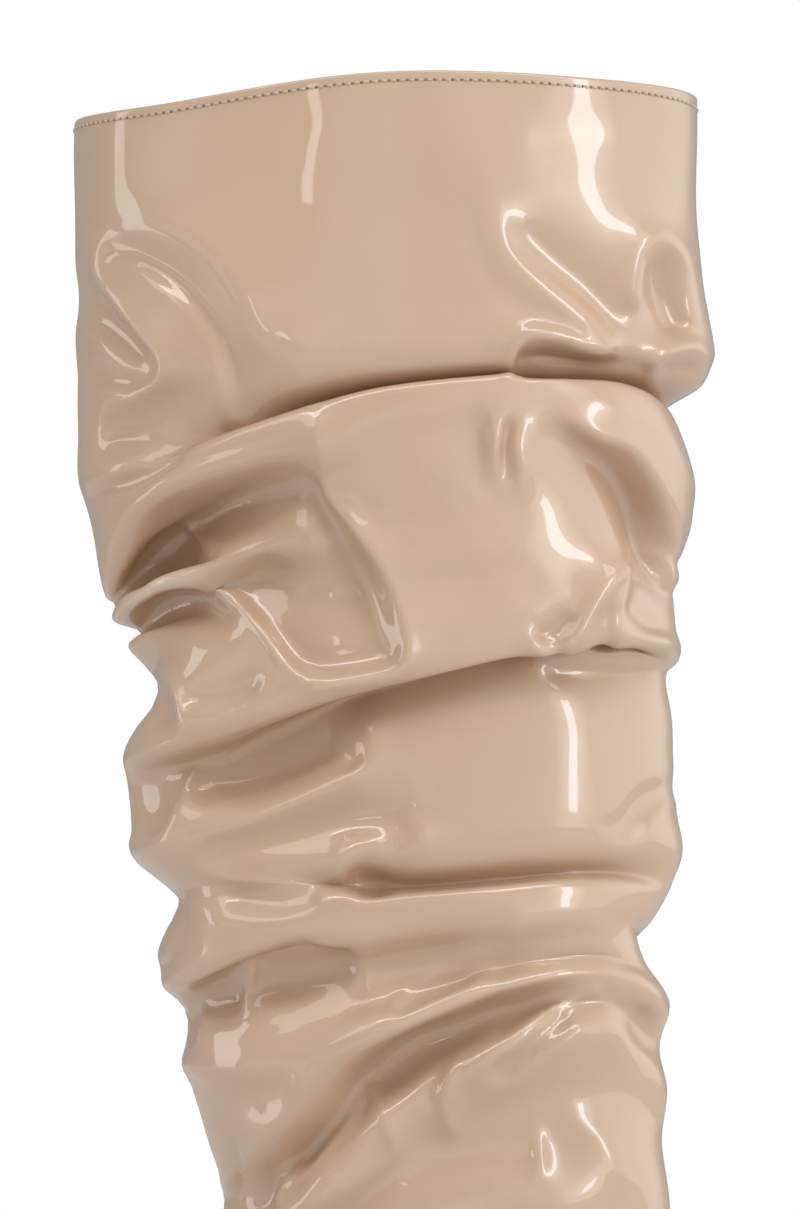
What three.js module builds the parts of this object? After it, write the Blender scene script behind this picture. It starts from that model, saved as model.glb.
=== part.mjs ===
// Knee-high slouch boot for the right foot: a hollow upper with a folded shaft, an insole, an outsole,
// a block heel and its top piece. Millimetres. +X points to the toe, +Z is up, and the outer side of
// the leg faces -Y. Angles run round the leg from the back (0) by the outer side to the front (180).
import * as THREE from "three";

// Sizes of the last
const FOOT_LENGTH = 245;
const BALL_WIDTH = 82;
const HEEL_HEIGHT = 73;
const TOE_SPRING = 8;
const ANKLE_HEIGHT = 150;

// Sizes of the shaft
const SHAFT_HEIGHT = 322;
const COLLAR_LENGTH = 168;
const COLLAR_WIDTH = 102;
const COLLAR_CENTRE = 49;
const ANKLE_LENGTH = 121;
const ANKLE_WIDTH = 74;
const ANKLE_CENTRE = 64;
const FOLD_DEPTH = 12;

// Thicknesses and clearances
const UPPER_WALL = 1.5;
const OUTSOLE_THICKNESS = 3.5;
const INSOLE_THICKNESS = 2.5;
const TOP_PIECE_THICKNESS = 6;
const SEAM_GAP = 0.3;
const SOLE_LEDGE = 0.8;
const INSOLE_TAPER = 1;

// Sizes of the heel block
const HEEL_LENGTH = 57;
const HEEL_WIDTH = 54;
const HEEL_SETBACK = 1.5;
const BREAST_BULGE = 2;

// How the inner side of the shaft differs from the outer one
const INNER_CALM = 0.4;
const INNER_TURN = THREE.MathUtils.degToRad(14);

const COLUMNS = 48;

// The form of the bare shaft. Height is a share of the shaft's height, girth goes from the ankle (0) to
// the collar (1), and so does lean, which moves the middle of the section.
const SHAFT_FORM = [
  { height: -0.05, girth: 0, lean: 0 },
  { height: 0.075, girth: 0, lean: 0 },
  { height: 0.13, girth: 0.05, lean: 0.08 },
  { height: 0.2, girth: 0.22, lean: 0.32 },
  { height: 0.29, girth: 0.38, lean: 0.54 },
  { height: 0.33, girth: 0.44, lean: 0.63 },
  { height: 0.39, girth: 0.53, lean: 0.72 },
  { height: 0.5, girth: 0.58, lean: 0.78 },
  { height: 0.58, girth: 0.69, lean: 0.86 },
  { height: 0.63, girth: 0.77, lean: 0.92 },
  { height: 0.68, girth: 0.89, lean: 1.04 },
  { height: 0.83, girth: 0.97, lean: 1 },
  { height: 1, girth: 1, lean: 1 },
];

// The folds, a row for each crest and trough from the collar down. Both lists go round the outer side in
// five steps, from back to front: the height in percent of the shaft's height, and how far the leather
// stands out (or in, below zero) in percent of the fold depth.
const FOLDS = [
  { name: "collar", height: [98, 98, 100, 100, 100], push: [0, 0, 0, 0, 0] },
  { name: "below collar", height: [96, 96, 98, 98, 97], push: [0, 0, 0, 0, 0] },
  { name: "plain high", height: [87, 89, 91, 91, 87], push: [-4, 0, 0, 0, -8] },
  { name: "plain low", height: [80, 80, 82, 82, 80], push: [4, 8, 0, 0, 33] },
  { name: "above A", height: [76, 74, 76, 77, 75], push: [0, -8, -8, -8, 25] },
  { name: "trough A", height: [72, 70, 74, 75, 73], push: [-4, -33, -75, -83, -62] },
  { name: "lip A", height: [68, 68, 74.5, 75.5, 71.5], push: [0, 0, 0, 0, -17] },
  { name: "roll A", height: [63, 66.4, 72.6, 73.6, 68.3], push: [0, 8, 17, 17, 8] },
  { name: "under A", height: [57, 64.8, 69.5, 70.5, 65], push: [-8, -8, 8, 17, 8] },
  { name: "pocket", height: [55, 62.2, 66, 67, 63], push: [-58, -108, -8, 8, 0] },
  { name: "loop ridge", height: [53, 59.2, 62, 64, 61], push: [-8, -25, 0, 8, -12] },
  { name: "loop pocket", height: [49.5, 57, 58.5, 61, 59], push: [-71, -67, -8, 8, 0] },
  { name: "belly", height: [47, 52, 55, 57.5, 56], push: [-8, 0, 8, 12, 0] },
  { name: "lip B", height: [45, 46.8, 50.5, 54.2, 53.8], push: [0, 8, 12, 8, 0] },
  { name: "under B", height: [43.6, 45.9, 51, 54.5, 52.3], push: [0, -75, -75, -50, -29] },
  { name: "middle high", height: [41.5, 43, 47, 49, 48], push: [0, -67, -42, -25, -8] },
  { name: "middle", height: [39, 40, 42, 43, 41.5], push: [-4, -25, -25, -17, -8] },
  { name: "middle low", height: [36.7, 37, 36, 37.4, 37.3], push: [-8, -8, -25, -17, 17] },
  { name: "trough C", height: [33, 34.2, 32.6, 34, 34.8], push: [-92, -25, -67, -50, 0] },
  { name: "lip C", height: [31, 31.7, 33.3, 34.5, 33.2], push: [-40, 0, 0, 0, -17] },
  { name: "roll C", height: [28.7, 29.5, 32, 33, 31.3], push: [0, 8, 8, 8, -50] },
  { name: "under C", height: [26.5, 27.6, 30.3, 31.5, 29.7], push: [-4, 0, 0, 0, -92] },
  { name: "trough D", height: [24, 25.6, 28.5, 30, 27.5], push: [-29, -67, -42, -17, -67] },
  { name: "floor D", height: [20, 22, 26, 28.5, 25.5], push: [-8, -25, -42, -25, -17] },
  { name: "ridge E", height: [13.2, 15.8, 23.8, 27, 23.8], push: [0, 17, 17, 8, 0] },
  { name: "trough E", height: [9, 10, 21.4, 24.8, 20.7], push: [-25, -33, -42, -25, -8] },
  { name: "ridge F", height: [5, 6.4, 17.9, 22.3, 17.4], push: [0, 8, 8, 8, 0] },
  { name: "trough F", height: [2, 3.4, 13.4, 17.4, 13.2], push: [-33, -33, -25, -17, -17] },
  { name: "ankle roll", height: [0, 0.5, 7.5, 10, 8], push: [0, 0, 0, 0, 0] },
];

// The foot, a row for each ring from the ankle down to the edge of the sole. Back and front are shares of
// the foot's length. Rise is the height at the back, from the heel seat (0) to the ankle (1), and drop
// the height at the front as a share of the ankle's. Width is a share of the form that it scales:
// outline says how far that is the sole's outline (1) and no longer the ankle's oval (0), and square
// how blunt the ring closes at the front. Follow says how far the ring runs along the sole.
const FOOT = [
  { back: 0.006, front: 0.51, rise: 0.76, drop: 1, width: 1, outline: 0, square: 4, follow: 0.15 },
  { back: 0, front: 0.527, rise: 0.56, drop: 0.86, width: 0.98, outline: 0.15, square: 4, follow: 0.35 },
  { back: -0.004, front: 0.563, rise: 0.4, drop: 0.71, width: 0.98, outline: 0.35, square: 4, follow: 0.55 },
  { back: -0.005, front: 0.62, rise: 0.28, drop: 0.575, width: 0.98, outline: 0.6, square: 4, follow: 0.75 },
  { back: -0.004, front: 0.698, rise: 0.19, drop: 0.447, width: 0.98, outline: 0.8, square: 5, follow: 0.9 },
  { back: -0.002, front: 0.788, rise: 0.135, drop: 0.34, width: 1, outline: 0.93, square: 6, follow: 1 },
  { back: 0, front: 0.878, rise: 0.095, drop: 0.27, width: 1.01, outline: 1, square: 8, follow: 1 },
  { back: 0.001, front: 0.955, rise: 0.06, drop: 0.21, width: 1.02, outline: 1, square: 12, follow: 1 },
  { back: 0.001, front: 0.993, rise: 0.03, drop: 0.145, width: 1.02, outline: 1, square: 24, follow: 1 },
];

// The outline of the sole: half-widths as shares of half the ball's width, along the foot's length.
const SOLE_OUTLINE = [
  { along: 0, outer: 0, inner: 0 },
  { along: 0.02, outer: 0.36, inner: 0.36 },
  { along: 0.06, outer: 0.55, inner: 0.55 },
  { along: 0.12, outer: 0.66, inner: 0.66 },
  { along: 0.22, outer: 0.69, inner: 0.68 },
  { along: 0.35, outer: 0.65, inner: 0.61 },
  { along: 0.45, outer: 0.71, inner: 0.63 },
  { along: 0.55, outer: 0.86, inner: 0.78 },
  { along: 0.65, outer: 0.99, inner: 0.95 },
  { along: 0.72, outer: 1, inner: 1 },
  { along: 0.8, outer: 0.88, inner: 0.95 },
  { along: 0.88, outer: 0.64, inner: 0.78 },
  { along: 0.94, outer: 0.38, inner: 0.55 },
  { along: 0.98, outer: 0.17, inner: 0.3 },
  { along: 1, outer: 0, inner: 0 },
];

// The side view of the outsole's underside: flat seat, arch, flat tread and toe spring. Heel is a share
// of the heel height and toe a share of the toe spring.
const SOLE_PROFILE = [
  { along: -0.1, heel: 1.04, toe: 0 },
  { along: 0, heel: 1, toe: 0 },
  { along: 0.25, heel: 0.9, toe: 0 },
  { along: 0.327, heel: 0.755, toe: 0 },
  { along: 0.449, heel: 0.44, toe: 0 },
  { along: 0.571, heel: 0.135, toe: 0 },
  { along: 0.65, heel: 0, toe: 0 },
  { along: 0.8, heel: 0, toe: 0 },
  { along: 0.88, heel: 0, toe: 0.28 },
  { along: 1, heel: 0, toe: 1 },
];

// The heel block from its top down: inset of the back and length as shares of the heel's length, and
// width as a share of the heel's width.
const HEEL_FORM = [
  { height: 1, inset: 0, length: 1, width: 1 },
  { height: 0.8, inset: 0.03, length: 0.93, width: 0.94 },
  { height: 0.5, inset: 0.07, length: 0.85, width: 0.88 },
  { height: 0.2, inset: 0.09, length: 0.82, width: 0.86 },
  { height: 0, inset: 0.09, length: 0.82, width: 0.86 },
];

// A smooth curve through the rows of a table that never swings past them.
function curveOf(table, key, value) {
  const x = table.map((row) => row[key]);
  const y = table.map((row) => row[value]);
  const slope = x.slice(1).map((next, i) => (y[i + 1] - y[i]) / (next - x[i]));
  const tangent = y.map((_, i) => {
    const before = slope[Math.max(i - 1, 0)];
    const after = slope[Math.min(i, slope.length - 1)];
    return before * after > 0 ? (2 * before * after) / (before + after) : 0;
  });
  return (at) => {
    const found = x.findIndex((start) => start > at) - 1;
    const i = found < -1 ? x.length - 2 : Math.max(found, 0);
    const width = x[i + 1] - x[i];
    const t = THREE.MathUtils.clamp((at - x[i]) / width, 0, 1);
    const rest = 1 - t;
    const ends = y[i] * rest * rest * (1 + 2 * t) + y[i + 1] * t * t * (3 - 2 * t);
    return ends + width * t * rest * (tangent[i] * rest - tangent[i + 1] * t);
  };
}

// Shaft
const girthAt = curveOf(SHAFT_FORM, "height", "girth");
const leanAt = curveOf(SHAFT_FORM, "height", "lean");

// The value of a fold's list at an angle. The inner side has the outer side's folds, turned and calmer.
function around(list, angle) {
  const half = Math.PI;
  const inner = angle > half;
  const mirrored = inner ? 2 * half - angle : angle;
  const turned = inner ? mirrored + INNER_TURN * Math.sin(mirrored) ** 2 : mirrored;
  const place = (turned / half) * (list.length - 1);
  const i = Math.min(Math.floor(place), list.length - 2);
  const t = place - i;
  const before = list[i > 0 ? i - 1 : 1];
  const after = list[i + 2 < list.length ? i + 2 : list.length - 2];
  const bend = (after - list[i]) / 2;
  const start = (list[i + 1] - before) / 2;
  const rest = 1 - t;
  const ends = list[i] * rest * rest * (1 + 2 * t) + list[i + 1] * t * t * (3 - 2 * t);
  const value = ends + t * rest * (start * rest - bend * t);
  const straight = THREE.MathUtils.lerp(list[0], list[list.length - 1], mirrored / half);
  return inner ? THREE.MathUtils.lerp(value, straight, INNER_CALM * Math.sin(mirrored)) : value;
}

function shaftPoint(fold, angle) {
  const height = around(fold.height, angle) / 100;
  const girth = girthAt(height);
  const lean = leanAt(height);
  const halfLength = THREE.MathUtils.lerp(ANKLE_LENGTH, COLLAR_LENGTH, girth) / 2;
  const halfWidth = THREE.MathUtils.lerp(ANKLE_WIDTH, COLLAR_WIDTH, girth) / 2;
  const middle = THREE.MathUtils.lerp(ANKLE_CENTRE, COLLAR_CENTRE, lean);
  const out = new THREE.Vector2(-Math.cos(angle) * halfWidth, -Math.sin(angle) * halfLength).normalize();
  const push = (around(fold.push, angle) / 100) * FOLD_DEPTH;
  return new THREE.Vector3(
    middle - Math.cos(angle) * halfLength + out.x * push,
    -Math.sin(angle) * halfWidth + out.y * push,
    ANKLE_HEIGHT + height * SHAFT_HEIGHT,
  );
}

// Sole
const heelShareAt = curveOf(SOLE_PROFILE, "along", "heel");
const toeShareAt = curveOf(SOLE_PROFILE, "along", "toe");
const roundedOutline = SOLE_OUTLINE.map((row) => ({ ...row, turn: Math.acos(1 - 2 * row.along) }));
const outerWidthAt = curveOf(roundedOutline, "turn", "outer");
const innerWidthAt = curveOf(roundedOutline, "turn", "inner");

function soleBottom(x) {
  const along = x / FOOT_LENGTH;
  return heelShareAt(along) * HEEL_HEIGHT + toeShareAt(along) * TOE_SPRING;
}

function soleTop(x) {
  return soleBottom(x) + OUTSOLE_THICKNESS;
}

// The sole's half-width at a share of its length, below zero on the outer side.
function outlineAt(along, angle) {
  const turn = Math.acos(THREE.MathUtils.clamp(1 - 2 * along, -1, 1));
  const outer = angle <= Math.PI;
  const share = outer ? -outerWidthAt(turn) : innerWidthAt(turn);
  return (share * BALL_WIDTH) / 2;
}

// The edge of the sole at an angle, moved outwards by a distance.
function edgePoint(angle, outwards, z) {
  const turn = (angle + 2 * Math.PI) % (2 * Math.PI);
  const at = (a) => {
    const along = (1 - Math.cos(a)) / 2;
    return new THREE.Vector2(along * FOOT_LENGTH, outlineAt(along, (a + 2 * Math.PI) % (2 * Math.PI)));
  };
  const step = 0.01;
  const edge = at(turn);
  const run = at(turn + step).sub(at(turn - step)).normalize();
  const x = edge.x + run.y * outwards;
  return new THREE.Vector3(x, edge.y - run.x * outwards, z(x));
}

// Foot
function footPoint(ring, angle) {
  const t = (1 - Math.cos(angle)) / 2;
  const x = THREE.MathUtils.lerp(ring.back, ring.front, t) * FOOT_LENGTH;
  const oval = (-Math.sin(angle) * ANKLE_WIDTH) / 2;
  const along = THREE.MathUtils.clamp(THREE.MathUtils.lerp(t * ring.front, x / FOOT_LENGTH, t), 0, 1);
  const closing = Math.sqrt(1 - t ** ring.square);
  const outline = outlineAt(along, angle) * closing;
  const seat = soleTop(0);
  const backZ = THREE.MathUtils.lerp(seat, ANKLE_HEIGHT, ring.rise);
  const frontZ = ring.drop * ANKLE_HEIGHT;
  const straight = THREE.MathUtils.lerp(backZ, frontZ, t);
  const lift = THREE.MathUtils.lerp(backZ - seat, frontZ - soleTop(ring.front * FOOT_LENGTH), t);
  return new THREE.Vector3(
    x,
    THREE.MathUtils.lerp(oval, outline, ring.outline) * ring.width,
    THREE.MathUtils.lerp(straight, soleTop(x) + lift, ring.follow),
  );
}

// Upper: rows of points from the collar down to the edge of the sole.
const UPPER_ROWS = [
  ...FOLDS.map((fold) => (angle) => shaftPoint(fold, angle)),
  ...FOOT.map((ring) => (angle) => footPoint(ring, angle)),
  (angle) => edgePoint(angle, 0, (x) => soleTop(x) + SEAM_GAP),
];

const angleOf = (column) => (((column + COLUMNS) % COLUMNS) / COLUMNS) * 2 * Math.PI;
const ringOf = (pointAt) => Array.from({ length: COLUMNS }, (_, column) => pointAt(angleOf(column)));

function insideRows(rows) {
  const last = rows.length - 1;
  return rows.map((row, r) =>
    row.map((point, column) => {
      const above = rows[Math.max(r - 1, 0)][column];
      const below = rows[Math.min(r + 1, last)][column];
      const before = row[(column + COLUMNS - 1) % COLUMNS];
      const after = row[(column + 1) % COLUMNS];
      const down = below.clone().sub(above);
      const inwards = after.clone().sub(before).cross(down).normalize();
      if (r === 0 || r === last) inwards.setZ(0).normalize();
      const inside = point.clone().addScaledVector(inwards, UPPER_WALL);
      if (r === last) inside.z = soleTop(inside.x) + SEAM_GAP;
      return inside;
    }),
  );
}

// A closed body from rings of points. Rings run upwards, each counterclockwise from above, and end in two
// caps, or join up with the first ring where they go round a hollow.
function bodyFromRings(rings, { joined = false } = {}) {
  const count = rings[0].length;
  const index = [];
  const quad = (a, b, c, d) => index.push(a, b, c, a, c, d);
  const bands = joined ? rings.length : rings.length - 1;
  for (let band = 0; band < bands; band += 1) {
    const low = band * count;
    const high = ((band + 1) % rings.length) * count;
    for (let j = 0; j < count; j += 1) {
      const k = (j + 1) % count;
      quad(low + j, low + k, high + k, high + j);
    }
  }
  const cap = (first, upwards) => {
    const face = (...corners) => {
      const placed = (upwards ? corners : corners.reverse()).map((corner) => first + corner);
      if (placed.length === 3) index.push(...placed);
      else quad(...placed);
    };
    face(0, 1, count - 1);
    for (let j = 1; j < count / 2 - 1; j += 1) face(j, j + 1, count - j - 1, count - j);
    face(count / 2 - 1, count / 2, count / 2 + 1);
  };
  if (!joined) {
    cap(0, false);
    cap((rings.length - 1) * count, true);
  }
  const positions = rings.flat().flatMap((point) => point.toArray());
  const geometry = new THREE.BufferGeometry();
  geometry.setAttribute("position", new THREE.Float32BufferAttribute(positions, 3));
  geometry.setIndex(index);
  return geometry;
}

function upperGeometry() {
  const outside = UPPER_ROWS.map(ringOf);
  return bodyFromRings([...outside.toReversed(), ...insideRows(outside)], { joined: true });
}

function insoleGeometry() {
  const inset = -(UPPER_WALL + SEAM_GAP);
  const bottom = (x) => soleTop(x) + SEAM_GAP;
  const top = (x) => bottom(x) + INSOLE_THICKNESS;
  return bodyFromRings([
    ringOf((angle) => edgePoint(angle, inset, bottom)),
    ringOf((angle) => edgePoint(angle, inset - INSOLE_TAPER, top)),
  ]);
}

function outsoleGeometry() {
  return bodyFromRings([
    ringOf((angle) => edgePoint(angle, SOLE_LEDGE, soleBottom)),
    ringOf((angle) => edgePoint(angle, SOLE_LEDGE, soleTop)),
  ]);
}

// A ring of the heel: a round back and sides that run to the two corners of a slightly bowed breast.
function heelPoint(row, angle, z) {
  const sideShare = 0.8;
  const turn = angle <= Math.PI ? angle / Math.PI : 2 - angle / Math.PI;
  const side = Math.min(turn / sideShare, 1) * (Math.PI / 2);
  const across = Math.max((turn - sideShare) / (1 - sideShare), 0);
  const along = 1 - Math.cos(side);
  const bulge = BREAST_BULGE * (1 - (1 - across) ** 2);
  const half = (HEEL_WIDTH / 2) * row.width * Math.sin(side) ** 0.8 * (1 - across);
  const x = HEEL_SETBACK + (row.inset + along * row.length) * HEEL_LENGTH + bulge;
  return new THREE.Vector3(x, angle <= Math.PI ? -half : half, z(x));
}

function heelGeometry() {
  const foot = TOP_PIECE_THICKNESS + SEAM_GAP;
  const rings = HEEL_FORM.map((row) =>
    ringOf((angle) =>
      heelPoint(row, angle, (x) => THREE.MathUtils.lerp(foot, soleBottom(x) - SEAM_GAP, row.height)),
    ),
  );
  return bodyFromRings(rings.toReversed());
}

function topPieceGeometry() {
  const row = HEEL_FORM[HEEL_FORM.length - 1];
  return bodyFromRings([
    ringOf((angle) => heelPoint(row, angle, () => 0)),
    ringOf((angle) => heelPoint(row, angle, () => TOP_PIECE_THICKNESS)),
  ]);
}

const patent = new THREE.MeshStandardMaterial({ color: "#cdb296", roughness: 0.08 });
const lining = new THREE.MeshStandardMaterial({ color: "#d8c6ae", roughness: 0.7 });
const soleLeather = new THREE.MeshStandardMaterial({ color: "#b98f66", roughness: 0.5 });
const rubber = new THREE.MeshStandardMaterial({ color: "#8a6a4c", roughness: 0.8 });

const boot = new THREE.Group();
const pieces = [
  ["upper", upperGeometry(), patent],
  ["insole", insoleGeometry(), lining],
  ["outsole", outsoleGeometry(), soleLeather],
  ["heel", heelGeometry(), patent],
  ["top_piece", topPieceGeometry(), rubber],
];
for (const [name, geometry, material] of pieces) {
  const mesh = new THREE.Mesh(geometry, material);
  mesh.name = name;
  boot.add(mesh);
}

// The part's origin is the middle of its footprint, on the floor.
const middle = new THREE.Box3().setFromObject(boot).getCenter(new THREE.Vector3());
boot.position.set(-middle.x, -middle.y, 0);

const part = new THREE.Group();
part.add(boot);
export default part;
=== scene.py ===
"""Knee-high slouch boot in nude patent leather: the visible surfaces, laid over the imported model."""

import math

import bmesh
import bpy
import numpy as np
from mathutils import Matrix, Vector


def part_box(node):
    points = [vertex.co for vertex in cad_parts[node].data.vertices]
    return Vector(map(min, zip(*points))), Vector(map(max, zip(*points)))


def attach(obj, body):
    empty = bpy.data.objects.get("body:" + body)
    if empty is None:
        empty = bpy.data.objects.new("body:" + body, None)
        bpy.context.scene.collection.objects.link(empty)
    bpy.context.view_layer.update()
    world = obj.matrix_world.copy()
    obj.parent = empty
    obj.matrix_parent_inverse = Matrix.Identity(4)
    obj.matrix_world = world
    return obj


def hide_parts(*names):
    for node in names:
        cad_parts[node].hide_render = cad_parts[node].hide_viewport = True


bl_info = {
    "name": "Slouch boot",
    "version": (1, 0, 0),
    "blender": (4, 5, 0),
    "location": "3D View > Sidebar > Boot",
    "description": "Builds the folded upper, lining, stitching, sole and heel of a slouch boot",
    "category": "Object",
}

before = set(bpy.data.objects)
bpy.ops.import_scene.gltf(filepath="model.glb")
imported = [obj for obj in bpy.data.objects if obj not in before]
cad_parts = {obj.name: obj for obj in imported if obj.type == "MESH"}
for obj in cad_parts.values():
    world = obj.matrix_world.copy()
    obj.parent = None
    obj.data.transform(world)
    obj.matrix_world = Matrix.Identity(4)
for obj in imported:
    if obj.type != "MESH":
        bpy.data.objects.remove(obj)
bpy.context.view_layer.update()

# Sizes of the boot in millimetres, as in the model of its solids
MM = 0.001
FOOT_LENGTH = 245
BALL_WIDTH = 82
HEEL_HEIGHT = 73
TOE_SPRING = 8
ANKLE_HEIGHT = 150
SHAFT_HEIGHT = 322
COLLAR_LENGTH = 168
COLLAR_WIDTH = 102
COLLAR_CENTRE = 49
ANKLE_LENGTH = 121
ANKLE_WIDTH = 74
ANKLE_CENTRE = 64
FOLD_DEPTH = 12
UPPER_WALL = 1.5
OUTSOLE_THICKNESS = 3.5
INSOLE_THICKNESS = 2.5
TOP_PIECE_THICKNESS = 6
SEAM_GAP = 0.3
SOLE_LEDGE = 0.8
HEEL_LENGTH = 57
HEEL_WIDTH = 54
HEEL_SETBACK = 1.5
BREAST_BULGE = 2
INNER_CALM = 0.4
INNER_TURN = math.radians(14)

# The middle of the boot's footprint, which is the frame's origin
heel_low, heel_high = (Vector(corner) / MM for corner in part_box("heel"))
ORIGIN = np.array([HEEL_SETBACK - heel_low.x, -(heel_low.y + heel_high.y) / 2, 0.0])

# The camera in millimetres from the heel's back, its angle above the horizon, and the photo's scale on
# the plane of the leg's middle. The view's reach is in metres.
CAMERA_AWAY = 1700
CAMERA_ALONG = 52.8
CAMERA_UP = 230
CAMERA_PITCH = math.radians(3.568)
MM_PER_PIXEL = 0.268
PHOTO_WIDTH = 800
PHOTO_HEIGHT = 1209
FOCAL_PIXELS = round(CAMERA_AWAY / MM_PER_PIXEL)
SENSOR_WIDTH = 36
VIEW_REACH = 20

# The bare shaft: height as a share of the shaft's, girth from ankle (0) to collar (1), and lean likewise
SHAFT_FORM = [
    (-0.05, 0.0, 0.0),
    (0.075, 0.0, 0.0),
    (0.13, 0.05, 0.08),
    (0.2, 0.22, 0.32),
    (0.29, 0.38, 0.54),
    (0.33, 0.44, 0.63),
    (0.39, 0.53, 0.72),
    (0.5, 0.58, 0.78),
    (0.58, 0.69, 0.86),
    (0.63, 0.77, 0.92),
    (0.68, 0.89, 1.04),
    (0.83, 0.97, 1.0),
    (1.0, 1.0, 1.0),
]

# The folds from the collar down: name, then height and push in percent, each in five steps from back to front
FOLDS = [
    ("collar", (98, 98, 100, 100, 100), (0, 0, 0, 0, 0)),
    ("below collar", (96, 96, 98, 98, 97), (0, 0, 0, 0, 0)),
    ("plain high", (87, 89, 91, 91, 87), (-4, 0, 0, 0, -8)),
    ("plain low", (80, 80, 82, 82, 80), (4, 8, 0, 0, 33)),
    ("above A", (76, 74, 76, 77, 76), (0, -8, -8, -8, 25)),
    ("trough A", (72, 70, 74, 75, 74), (-4, -33, -75, -83, -62)),
    ("lip A", (68, 68.8, 74.5, 75.5, 72.8), (0, 0, 0, 0, -38)),
    ("roll A", (64, 67.7, 72.6, 73.6, 68.3), (0, 8, 17, 17, 8)),
    ("flap", (58.8, 66.2, 70, 71, 65.5), (0, 12, 12, 17, 8)),
    ("pocket", (58.1, 65.2, 68, 69.4, 64), (-15, -85, 2, 12, 4)),
    ("pocket floor", (57.6, 63.4, 66, 67.8, 63), (-20, -88, -2, 8, -4)),
    ("second roll", (56.4, 60.2, 62.8, 65, 61.2), (-8, -14, 0, 8, -12)),
    ("under roll", (55.3, 58.4, 60.2, 62.8, 60), (-60, -70, -4, 8, -4)),
    ("face top", (54.2, 56.8, 58.4, 60.4, 58.6), (-28, -50, -8, 8, 0)),
    ("loop floor", (51, 53.6, 56.4, 58.6, 57), (-85, -20, -2, 8, 0)),
    ("belly", (47, 50, 54, 56.6, 55.4), (-20, 4, 8, 12, 0)),
    ("lip B", (45, 46.2, 50.5, 54.2, 53.8), (0, 8, 12, 8, 0)),
    ("under B", (43.6, 45.4, 51, 54.5, 52.3), (0, -75, -75, -50, -29)),
    ("middle high", (41.5, 42.8, 47, 49, 48), (0, -67, -42, -25, -8)),
    ("middle", (39, 40, 42, 43, 41.5), (-4, -25, -25, -17, -8)),
    ("middle low", (36.7, 37, 36, 37.4, 37.3), (-8, -8, -25, -17, 17)),
    ("trough C", (33, 34.2, 34, 35.2, 34.8), (-92, -25, -60, -45, 0)),
    ("lip C", (31, 31.7, 33.3, 34.5, 33.2), (-40, 0, 0, 0, -17)),
    ("roll C", (28.7, 29.5, 32, 33, 31.3), (0, 8, 8, 8, -50)),
    ("under C", (26.5, 27.6, 30.3, 31.5, 29.7), (-4, 0, 0, 0, -92)),
    ("trough D", (24, 25.6, 28.5, 30, 27.5), (-29, -67, -42, -17, -67)),
    ("floor D", (20, 22, 26, 28.5, 25.5), (-8, -25, -42, -25, -17)),
    ("ridge E", (13.2, 15.8, 23.8, 27, 23.8), (0, 17, 17, 8, 0)),
    ("trough E", (9, 10, 21.4, 24.8, 20.7), (-25, -33, -42, -25, -8)),
    ("ridge F", (5, 6.4, 17.9, 22.3, 17.4), (0, 8, 8, 8, 0)),
    ("trough F", (2, 3.4, 13.4, 17.4, 13.2), (-33, -33, -25, -17, -17)),
    ("ankle roll", (0, 0.5, 7.5, 10, 8), (0, 0, 0, 0, 0)),
]

# The foot's rings: back and front as shares of the length, rise of the back from the seat to the ankle,
# height of the front as a share of the ankle's, width, share of the sole's outline in the ring's, how
# square its front is, and how far its edge follows the sole's pitch
FOOT = [
    (0.006, 0.51, 0.76, 1, 1, 0, 4, 0.15),
    (0, 0.527, 0.56, 0.86, 0.98, 0.15, 4, 0.35),
    (-0.004, 0.563, 0.4, 0.71, 0.98, 0.35, 4, 0.55),
    (-0.005, 0.62, 0.28, 0.575, 0.98, 0.6, 4, 0.75),
    (-0.004, 0.698, 0.19, 0.447, 0.98, 0.8, 5, 0.9),
    (-0.002, 0.788, 0.135, 0.34, 1, 0.93, 6, 1),
    (0, 0.878, 0.095, 0.27, 1.01, 1, 8, 1),
    (0.001, 0.955, 0.06, 0.21, 1.02, 1, 12, 1),
    (0.001, 0.993, 0.03, 0.145, 1.02, 1, 24, 1),
]

# The sole's outline: share of the length, then outer and inner half-width as shares of half the ball's
SOLE_OUTLINE = [
    (0, 0, 0),
    (0.02, 0.36, 0.36),
    (0.06, 0.55, 0.55),
    (0.12, 0.66, 0.66),
    (0.22, 0.69, 0.68),
    (0.35, 0.65, 0.61),
    (0.45, 0.71, 0.63),
    (0.55, 0.86, 0.78),
    (0.65, 0.99, 0.95),
    (0.72, 1, 1),
    (0.8, 0.88, 0.95),
    (0.88, 0.64, 0.78),
    (0.94, 0.38, 0.55),
    (0.98, 0.17, 0.3),
    (1, 0, 0),
]

# The side view of the outsole's underside: share of the length, of the heel height and of the toe spring
SOLE_PROFILE = [
    (-0.1, 1.04, 0),
    (0, 1, 0),
    (0.25, 0.9, 0),
    (0.327, 0.755, 0),
    (0.449, 0.44, 0),
    (0.571, 0.135, 0),
    (0.65, 0, 0),
    (0.8, 0, 0),
    (0.88, 0, 0.28),
    (1, 0, 1),
]

# The heel block from its top down: height, inset, length and width
HEEL_FORM = [
    (1, 0, 1, 1),
    (0.8, 0.03, 0.93, 0.94),
    (0.5, 0.07, 0.85, 0.88),
    (0.2, 0.09, 0.82, 0.86),
    (0, 0.09, 0.82, 0.86),
]
HEEL_RINGS = 25
HEEL_COLUMNS = 120
HEEL_SIDE_SHARE = 0.8
HEEL_ROUNDNESS = 0.8

# The rounding of the rims in millimetres, and the angles past which an edge is sharp or is a rim
OUTSOLE_BEVEL = 0.7
SOCK_BEVEL = 0.5
HEEL_BEVEL = 0.8
TOP_PIECE_BEVEL = 0.5
SHARP_ANGLE = math.radians(40)
RIM_ANGLE = math.radians(60)
RIM_SLOPE = 0.8

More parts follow.
